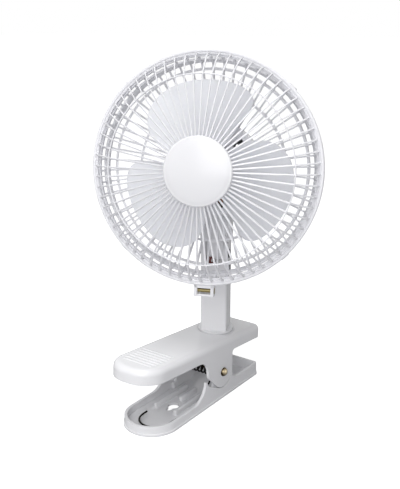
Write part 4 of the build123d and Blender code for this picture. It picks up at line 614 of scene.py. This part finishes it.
blade = draw_line("blade", [polar(radius, BLADE_START, BLADE_HEIGHT + BLADE_START * BLADE_CLIMB)
                            for radius in BLADE_RADII])
bpy.ops.object.mode_set(mode="OBJECT")
apply_modifier(blade, "SCREW", angle=math.radians(BLADE_END - BLADE_START), steps=BLADE_STEPS,
               render_steps=BLADE_STEPS, screw_offset=(BLADE_END - BLADE_START) * BLADE_CLIMB * MM)
apply_modifier(blade, "SOLIDIFY", thickness=BLADE_THICKNESS * MM, offset=0.0)
tidy_faces(blade)
print("one sheet:", len(blade.data.polygons), "faces")

# %% [markdown]
# ### Blades and hub
#
# A prism with the leaf's outline trims the sheet by a boolean, and a bevel rounds the cut edges. A smooth
# curve through a few points gives the outline. The hub is a cup from the lathe, with a boss for the shaft
# inside.

# %% Blades and hub
LEAF = ((18.6, -44), (30, -44.5), (42, -44.5), (54, -44.5), (61, -44), (65.5, -41.5), (68.5, -36.5),
        (69.8, -30), (70, -22), (70, -8), (70, 6), (69.4, 16), (67.6, 25), (64, 33.5), (58.5, 41), (51, 47),
        (43, 51), (35, 53), (27, 53), (18.6, 51))       # radius, and degrees from the blade's middle
LEAF_BACK = -30               # the prism reaches well past the sheet on both sides
LEAF_DEPTH = 60
BLADE_EDGE = 0.5
BLADE_COUNT = 3
HUB = [(0, 9), (17, 9), (18.6, 8.5), (19.6, 7.4), (20, 6), (20, -24.7), (19.7, -25), (18.3, -25),
       (18, -24.7), (18, 7), (4.5, 7), (4.5, -12), (2.2, -12), (2.2, 5.5), (0, 5.5)]


def along_curve(knots, steps=4):
    """Points of a smooth curve through its knots."""
    points = []
    for i in range(len(knots) - 1):
        a, b, c, d = (Vector(knots[min(max(j, 0), len(knots) - 1)]) for j in (i - 1, i, i + 1, i + 2))
        for step in range(steps):
            way = step / steps
            points.append(b + (c - a) * way / 2 + (2 * a - 5 * b + 4 * c - d) * way ** 2 / 2
                          + (3 * b - a - 3 * c + d) * way ** 3 / 2)
    return points + [Vector(knots[-1])]


leaf = draw_line("leaf", [polar(radius, angle, LEAF_BACK) for radius, angle in along_curve(LEAF)])
bpy.ops.mesh.edge_face_add()
bpy.ops.mesh.extrude_region_move(TRANSFORM_OT_translate={"value": (0, 0, LEAF_DEPTH * MM)})
bpy.ops.object.mode_set(mode="OBJECT")
tidy_faces(leaf)
apply_modifier(blade, "BOOLEAN", operation="INTERSECT", object=leaf)
bpy.data.objects.remove(leaf)
tidy_faces(blade)
apply_modifier(blade, "BEVEL", width=BLADE_EDGE * MM, segments=3, limit_method="ANGLE",
               angle_limit=math.radians(60))
spin_copies(blade, BLADE_COUNT)
impeller = join("impeller_moulding", [blade, lathe("hub", HUB, steps=72)])
settle(impeller, head_pose, "rotor", "blade_plastic", blade_styrene, "impeller")

# %% [markdown]
# ## The rivet
#
# A brass-plated rivet is the hinge's pin. Its head is a high dome, and its tail is a smaller one, spread
# by the riveting tool. It is turned upright and then laid along X.

# %% Rivet
RIVET = [(0, 26.9), (0.9, 26.8), (1.8, 26.45), (2.6, 25.9), (3.3, 25.1), (3.7, 24.3), (3.9, 23.8),
         (4.0, 23.4), (2.0, 23.4), (2.0, -23.4), (3.3, -23.4), (3.1, -23.75), (2.4, -24.15), (1.3, -24.4),
         (0, -24.5)]
rivet_pose = Matrix.Translation((0, hinge.y, hinge.z)) @ Matrix.Rotation(math.pi / 2, 4, "Y")
settle(lathe("rivet", RIVET, steps=48), rivet_pose, "base", "brass_rivet", rivet_brass, "pivot_pin")

# %% [markdown]
# ## Grip ridges
#
# Low ridges across the upper handle keep a thumb from slipping. Each one is the rounded back of a bar,
# so it is a block with well-rounded edges, sunk into the handle's top, which slopes. The last ones are
# shorter, because the pad ends in a half circle.

# %% Ridges on the handle
ARM_TOP = 51.9                # the lever's top face, above the floor at the post's axis
ARM_SLOPE = math.radians(4.7)   # rising towards the handle
RIDGE_FIRST_Y = -82.28        # along the slope
RIDGE_PITCH = 4.415
RIDGE_COUNT = 7
RIDGE_PROUD = 0.5
RIDGE_HALF_WIDTH = 1.2
RIDGE_HALF_LENGTH = 15.9
PAD_CENTRE_Y = -94.3
PAD_RADIUS = 20.3
arm_pose = Matrix.Translation((0, 0, ARM_TOP * MM)) @ Matrix.Rotation(-ARM_SLOPE, 4, "X")
ridges = []
for number in range(RIDGE_COUNT):
    ridge_y = RIDGE_FIRST_Y - number * RIDGE_PITCH
    past_centre = max(0.0, PAD_CENTRE_Y - ridge_y)
    half_length = min(RIDGE_HALF_LENGTH, math.sqrt(PAD_RADIUS ** 2 - past_centre ** 2))
    low = (-half_length, ridge_y - RIDGE_HALF_WIDTH, RIDGE_PROUD - 2 * RIDGE_HALF_WIDTH)
    high = (half_length, ridge_y + RIDGE_HALF_WIDTH, RIDGE_PROUD)
    ridges.append(box("ridge", low, high, edge=1.0))
settle(join("grip_ridges", ridges), arm_pose, "arm", "white_plastic", white_polystyrene)

# %% [markdown]
# ## Rails in the tray
#
# Under the handle three rails stiffen the lower lever's floor. Two run along the keyhole's sides, and the
# middle one starts between it and the hinge. They are blocks with well-rounded edges, sunk a little into
# the floor, and cover the measured solid's two shorter rails.

# %% Rails
RAILS = ((-10.2, -75.0), (0.0, -53.0), (10.2, -75.0))   # middle across, and where each one starts
RAIL_END_Y = -30.5
RAIL_HALF_WIDTH = 1.9
RAIL_FOOT = 0.9               # inside the floor
RAIL_TOP = 6.2
rails = [box("rail", (x - RAIL_HALF_WIDTH, start, RAIL_FOOT), (x + RAIL_HALF_WIDTH, RAIL_END_Y, RAIL_TOP),
             edge=1.1) for x, start in RAILS]
settle(join("tray_rails", rails), clip_pose, "base", "white_plastic", white_polystyrene)

# %% [markdown]
# ## The motor's leads
#
# Three thin leads come up through the fork's floor, bulge out in front of the neck's round foot and
# press against it. They ride with the post; the foot turns past them, as it is round there. Each is a
# short curve with a round section, made a mesh.

# %% Leads
LEAD_RADIUS = 0.65
LEAD_PATH = ((-1.0, -1.5, 114.9), (-2.2, -5.0, 115.6), (-4.4, -8.6, 116.6), (-4.9, -9.2, 118.6),
             (-4.4, -8.0, 120.6), (-4.2, -6.9, 121.2))
LEAD_SHIFTS = (-1.5, 0.0, 1.5)            # of each lead from that path, sideways
LEAD_SHARES = (0.5, 0.5, 1, 1, 1, 1)      # they spread only once they are through the floor
SLIM = 0.94                   # share of the radius where a wire lies inside another one


def draw_wire(name, path, radius, slim_points=0):
    """A round wire through points in millimetres, the first of which may be drawn a little thinner."""
    curve = bpy.data.curves.new(name, "CURVE")
    curve.dimensions = "3D"
    curve.bevel_depth = radius * MM
    curve.bevel_resolution = 3
    curve.use_fill_caps = True
    line = curve.splines.new("POLY")
    line.points.add(len(path) - 1)
    for number, (point, place) in enumerate(zip(line.points, path)):
        point.co = (*Vector(place) * MM, 1.0)
        point.radius = SLIM if number < slim_points else 1.0
    wire = bpy.data.objects.new(name, curve)
    bpy.context.scene.collection.objects.link(wire)
    alone(wire)
    bpy.ops.object.convert(target="MESH")
    tidy_faces(bpy.context.object, smooth=60.0)
    return bpy.context.object


leads = []
for shift in LEAD_SHIFTS:
    knots = [(x + shift * share, y, z) for (x, y, z), share in zip(LEAD_PATH, LEAD_SHARES)]
    leads.append(draw_wire("lead", along_curve(knots), LEAD_RADIUS))
settle(join("motor_leads", leads), post_pose, "post", "lead_insulation", lead_pvc, "lead_wires")

# %% [markdown]
# ## The clip's spring
#
# One hard wire is wound seven and a half times round the rivet, and each of its legs ends in an open eye
# that presses on a handle. The upper leg has to follow the upper lever, so the wire is drawn as two
# pieces that meet on top of the coil. The first is the coil with the lower leg, which lies on the tray's
# floor and springs up a little towards its eye. The coil is worked out turn by turn, and a smooth curve
# leads from it to the straight leg.

# %% Coil and lower leg
WIRE_RADIUS = 0.8
COIL_RADIUS = 6.0
COIL_TURNS = 7.5
COIL_PITCH = 3.8
COIL_STEPS = 24               # points on each turn
EYE_RADIUS = 13.5
EYE_STEPS = 14
LOWER_LEG_X = 17.6
LOWER_LEG_Y = -56.0           # where the leg's straight stretch ends, towards the coil
LOWER_LEG_Z = 3.0             # middle of the wire, on the tray's floor
LOWER_EYE_Y = -92.0
LOWER_EYE_Z = 4.8
LOWER_TAIL_Y = -87.0


def on_coil(turns):
    """A point on the coil's middle line, counted in turns from its lowest point."""
    angle = 2 * math.pi * (turns - 0.25)
    return Vector((COIL_PITCH * (COIL_TURNS / 2 - turns), hinge.y / MM + COIL_RADIUS * math.cos(angle),
                   hinge.z / MM + COIL_RADIUS * math.sin(angle)))


def eased(start, start_way, end, end_way, steps=12):
    """Points of a smooth curve that leaves one point and reaches another, each in the way given."""
    pull = (end - start).length / 3
    first_pull = start + start_way * pull
    last_pull = end - end_way * pull
    points = []
    for step in range(1, steps):
        way = step / steps
        points.append(start * (1 - way) ** 3 + first_pull * 3 * way * (1 - way) ** 2
                      + last_pull * 3 * way ** 2 * (1 - way) + end * way ** 3)
    return points


def eye(centre, start_way, out):
    """Points of a leg's half-circle eye: from one side, round and back, out being away from the coil."""
    return [centre + start_way * EYE_RADIUS * math.cos(math.pi * step / EYE_STEPS)
            + out * EYE_RADIUS * math.sin(math.pi * step / EYE_STEPS) for step in range(EYE_STEPS + 1)]


right = Vector((1, 0, 0))
back = Vector((0, 1, 0))
lower_end = Vector((LOWER_LEG_X, LOWER_LEG_Y, LOWER_LEG_Z))
lower_wire = [Vector((LOWER_LEG_X - 2 * EYE_RADIUS, LOWER_TAIL_Y, LOWER_EYE_Z))]
lower_wire += eye(Vector((LOWER_LEG_X - EYE_RADIUS, LOWER_EYE_Y, LOWER_EYE_Z)), -right, -back)
lower_wire += [lower_end] + eased(lower_end, back, on_coil(0), back)
lower_wire += [on_coil(step / COIL_STEPS) for step in range(round(COIL_TURNS * COIL_STEPS) + 1)]
coil = draw_wire("clip_spring_coil", lower_wire, WIRE_RADIUS)
settle(coil, clip_pose, "base", "spring_steel", spring_wire, "clip_spring")

# %% [markdown]
# ### The upper leg
#
# The upper leg lies under the upper lever's skin and rides with it, turning about the rivet. Its first
# bit lies inside the coil's last turn, a little thinner, so that it stays on the coil and slides out as
# the clip opens.

# %% Upper leg
UPPER_LEG_X = -16.6
UPPER_LEG_Y = -60.0           # where the leg's straight stretch ends, towards the coil
UPPER_EYE_Y = -84.0
UPPER_TAIL_Y = -78.0
UNDER_ARM = 4.0               # from the lever's top face: skin, a little room and half the wire
LEG_SLIDE = 5                 # points of the leg that lie in the coil


def under_arm(x, y):
    """A place of the wire's middle, just under the upper lever's skin."""
    top = ARM_TOP - y * math.tan(ARM_SLOPE)
    return Vector((x, y, top - UNDER_ARM / math.cos(ARM_SLOPE)))


slant = Vector((0, -math.cos(ARM_SLOPE), math.sin(ARM_SLOPE)))
upper_end = under_arm(UPPER_LEG_X, UPPER_LEG_Y)
upper_wire = [on_coil(COIL_TURNS - step / COIL_STEPS) for step in range(LEG_SLIDE - 1, -1, -1)]
upper_wire += eased(on_coil(COIL_TURNS), -back, upper_end, slant) + [upper_end]
upper_wire += eye(under_arm(UPPER_LEG_X + EYE_RADIUS, UPPER_EYE_Y), -right, slant)
upper_wire += [under_arm(UPPER_LEG_X + 2 * EYE_RADIUS, UPPER_TAIL_Y)]
upper_leg = draw_wire("clip_spring_upper_leg", upper_wire, WIRE_RADIUS, slim_points=LEG_SLIDE)
settle(upper_leg, clip_pose, "arm", "spring_steel", spring_wire)

# %% [markdown]
# ## The floor
#
# The picture is a studio cut-out: soft light from the upper left, hardly a shadow, and white all round.
# A wide pale floor catches what shadow there is. The camera sees it lifted to white through Is Camera
# Ray, so that no extra light has to fall on the fan to make it so.

# %% Floor
FLOOR_SIZE = 24.0             # metres, so that its edge is far outside the picture
FLOOR_DROP = 0.1 * MM         # keeps it clear of the fan's base
FLOOR_LIFT = 0.8              # added where the camera looks at the floor itself

floor = fresh("floor", bpy.ops.mesh.primitive_plane_add, size=FLOOR_SIZE, location=(0, 0, -FLOOR_DROP))
bpy.ops.object.transform_apply()
# Matt studio paint, faintly mottled: it takes a soft shadow and gives no highlight
floor_paint, tree, shader, place = new_material("floor_paint")
mottle = add_node(tree, "ShaderNodeTexNoise", {"Vector": place, "Scale": per_mm(300)})
paint = add_node(tree, "ShaderNodeMix", {"Factor": mottle.outputs["Fac"], "A": linear("#cacacc"),
                                        "B": linear("#c4c4c6")}, data_type="RGBA")
seen = add_node(tree, "ShaderNodeLightPath")
lift = add_node(tree, "ShaderNodeMath", {0: seen.outputs["Is Camera Ray"], 1: FLOOR_LIFT},
                operation="MULTIPLY")
tree.links.new(paint.outputs["Result"], shader.inputs["Base Color"])
tree.links.new(lift.outputs["Value"], shader.inputs["Emission Strength"])
shader.inputs["Emission Color"].default_value = linear("#ffffff")
shader.inputs["Roughness"].default_value = 0.9
floor.data.materials.append(floor_paint)
print("floor laid,", FLOOR_SIZE, "m wide")

# %% [markdown]
# ## The lamps
#
# Three large soft boxes light the fan. The key lamp stands high to the camera's left, and the other two
# stand nearly on the camera's own side, one low and one almost overhead. They fill what the key lamp
# leaves dark, at a level at which a colour renders about as it is written.

# %% Lamps
LAMPS = (                     # name, degrees from +X, degrees above the floor, watts
    ("key_light", -76.0, 56.0, 9.6),
    ("front_light", -60.0, 21.0, 11.2),
    ("top_light", -60.0, 80.0, 12.5),
)
LAMP_DISTANCE = 1.9           # metres
LAMP_SIZE = 1.1
LAMP_AIM = Vector((0, 0, 0.15))   # the middle of the fan


def towards(azimuth, height):
    """The way from the fan to a lamp, in degrees from +X and above the floor."""
    flat = math.cos(math.radians(height))
    return Vector((flat * math.cos(math.radians(azimuth)), flat * math.sin(math.radians(azimuth)),
                   math.sin(math.radians(height))))


for lamp_name, azimuth, height, power in LAMPS:
    lamp = bpy.data.objects.new(lamp_name, bpy.data.lights.new(lamp_name, "AREA"))
    bpy.context.scene.collection.objects.link(lamp)
    lamp.data.energy = power
    lamp.data.size = LAMP_SIZE
    lamp.location = LAMP_AIM + towards(azimuth, height) * LAMP_DISTANCE
    lamp.rotation_euler = towards(azimuth, height).to_track_quat("Z", "Y").to_euler()
    print(lamp_name + ":", power, "W")

# %% [markdown]
# ## The sky
#
# The sky is brighter on the left, which gives the pale plastic its gentle shading from left to right.
# The camera sees it as white, and so does what mirrors it or looks through something clear, through the
# three kinds of ray that Light Path tells apart.

# %% Sky
SKY_AZIMUTH = -115.0          # the bright side
SKY_HEIGHT = 20.0
SKY_DIM = 0.04
SKY_BRIGHT = 0.55
SKY_DIM_FROM = -0.8           # cosine of the angle from the bright side past which it is dimmest

world = bpy.data.worlds.new("studio")
bpy.context.scene.world = world
world.use_nodes = True
tree = world.node_tree
tree.nodes.clear()
looking = add_node(tree, "ShaderNodeTexCoord")
side = add_node(tree, "ShaderNodeVectorMath", {0: looking.outputs["Generated"],
                                              1: towards(SKY_AZIMUTH, SKY_HEIGHT)}, operation="DOT_PRODUCT")
glow = add_node(tree, "ShaderNodeMapRange", {"Value": side.outputs["Value"], "From Min": SKY_DIM_FROM,
                                            "To Min": SKY_DIM, "To Max": SKY_BRIGHT})
sky = add_node(tree, "ShaderNodeBackground", {"Color": linear("#ffffff"),
                                             "Strength": glow.outputs["Result"]})
white = add_node(tree, "ShaderNodeBackground", {"Color": linear("#ffffff"), "Strength": 1.0})
ray = add_node(tree, "ShaderNodeLightPath")
seen = add_node(tree, "ShaderNodeMath", {0: ray.outputs["Is Camera Ray"], 1: ray.outputs["Is Glossy Ray"]},
                operation="MAXIMUM")
clear = add_node(tree, "ShaderNodeMath", {0: seen.outputs["Value"], 1: ray.outputs["Is Transmission Ray"]},
                 operation="MAXIMUM")
surround = add_node(tree, "ShaderNodeMixShader", {"Fac": clear.outputs["Value"],
                                                 1: sky.outputs["Background"],
                                                 2: white.outputs["Background"]})
add_node(tree, "ShaderNodeOutputWorld", {"Surface": surround.outputs["Shader"]})
bpy.context.scene.view_settings.view_transform = "Standard"
print("sky from", SKY_DIM, "to", SKY_BRIGHT)
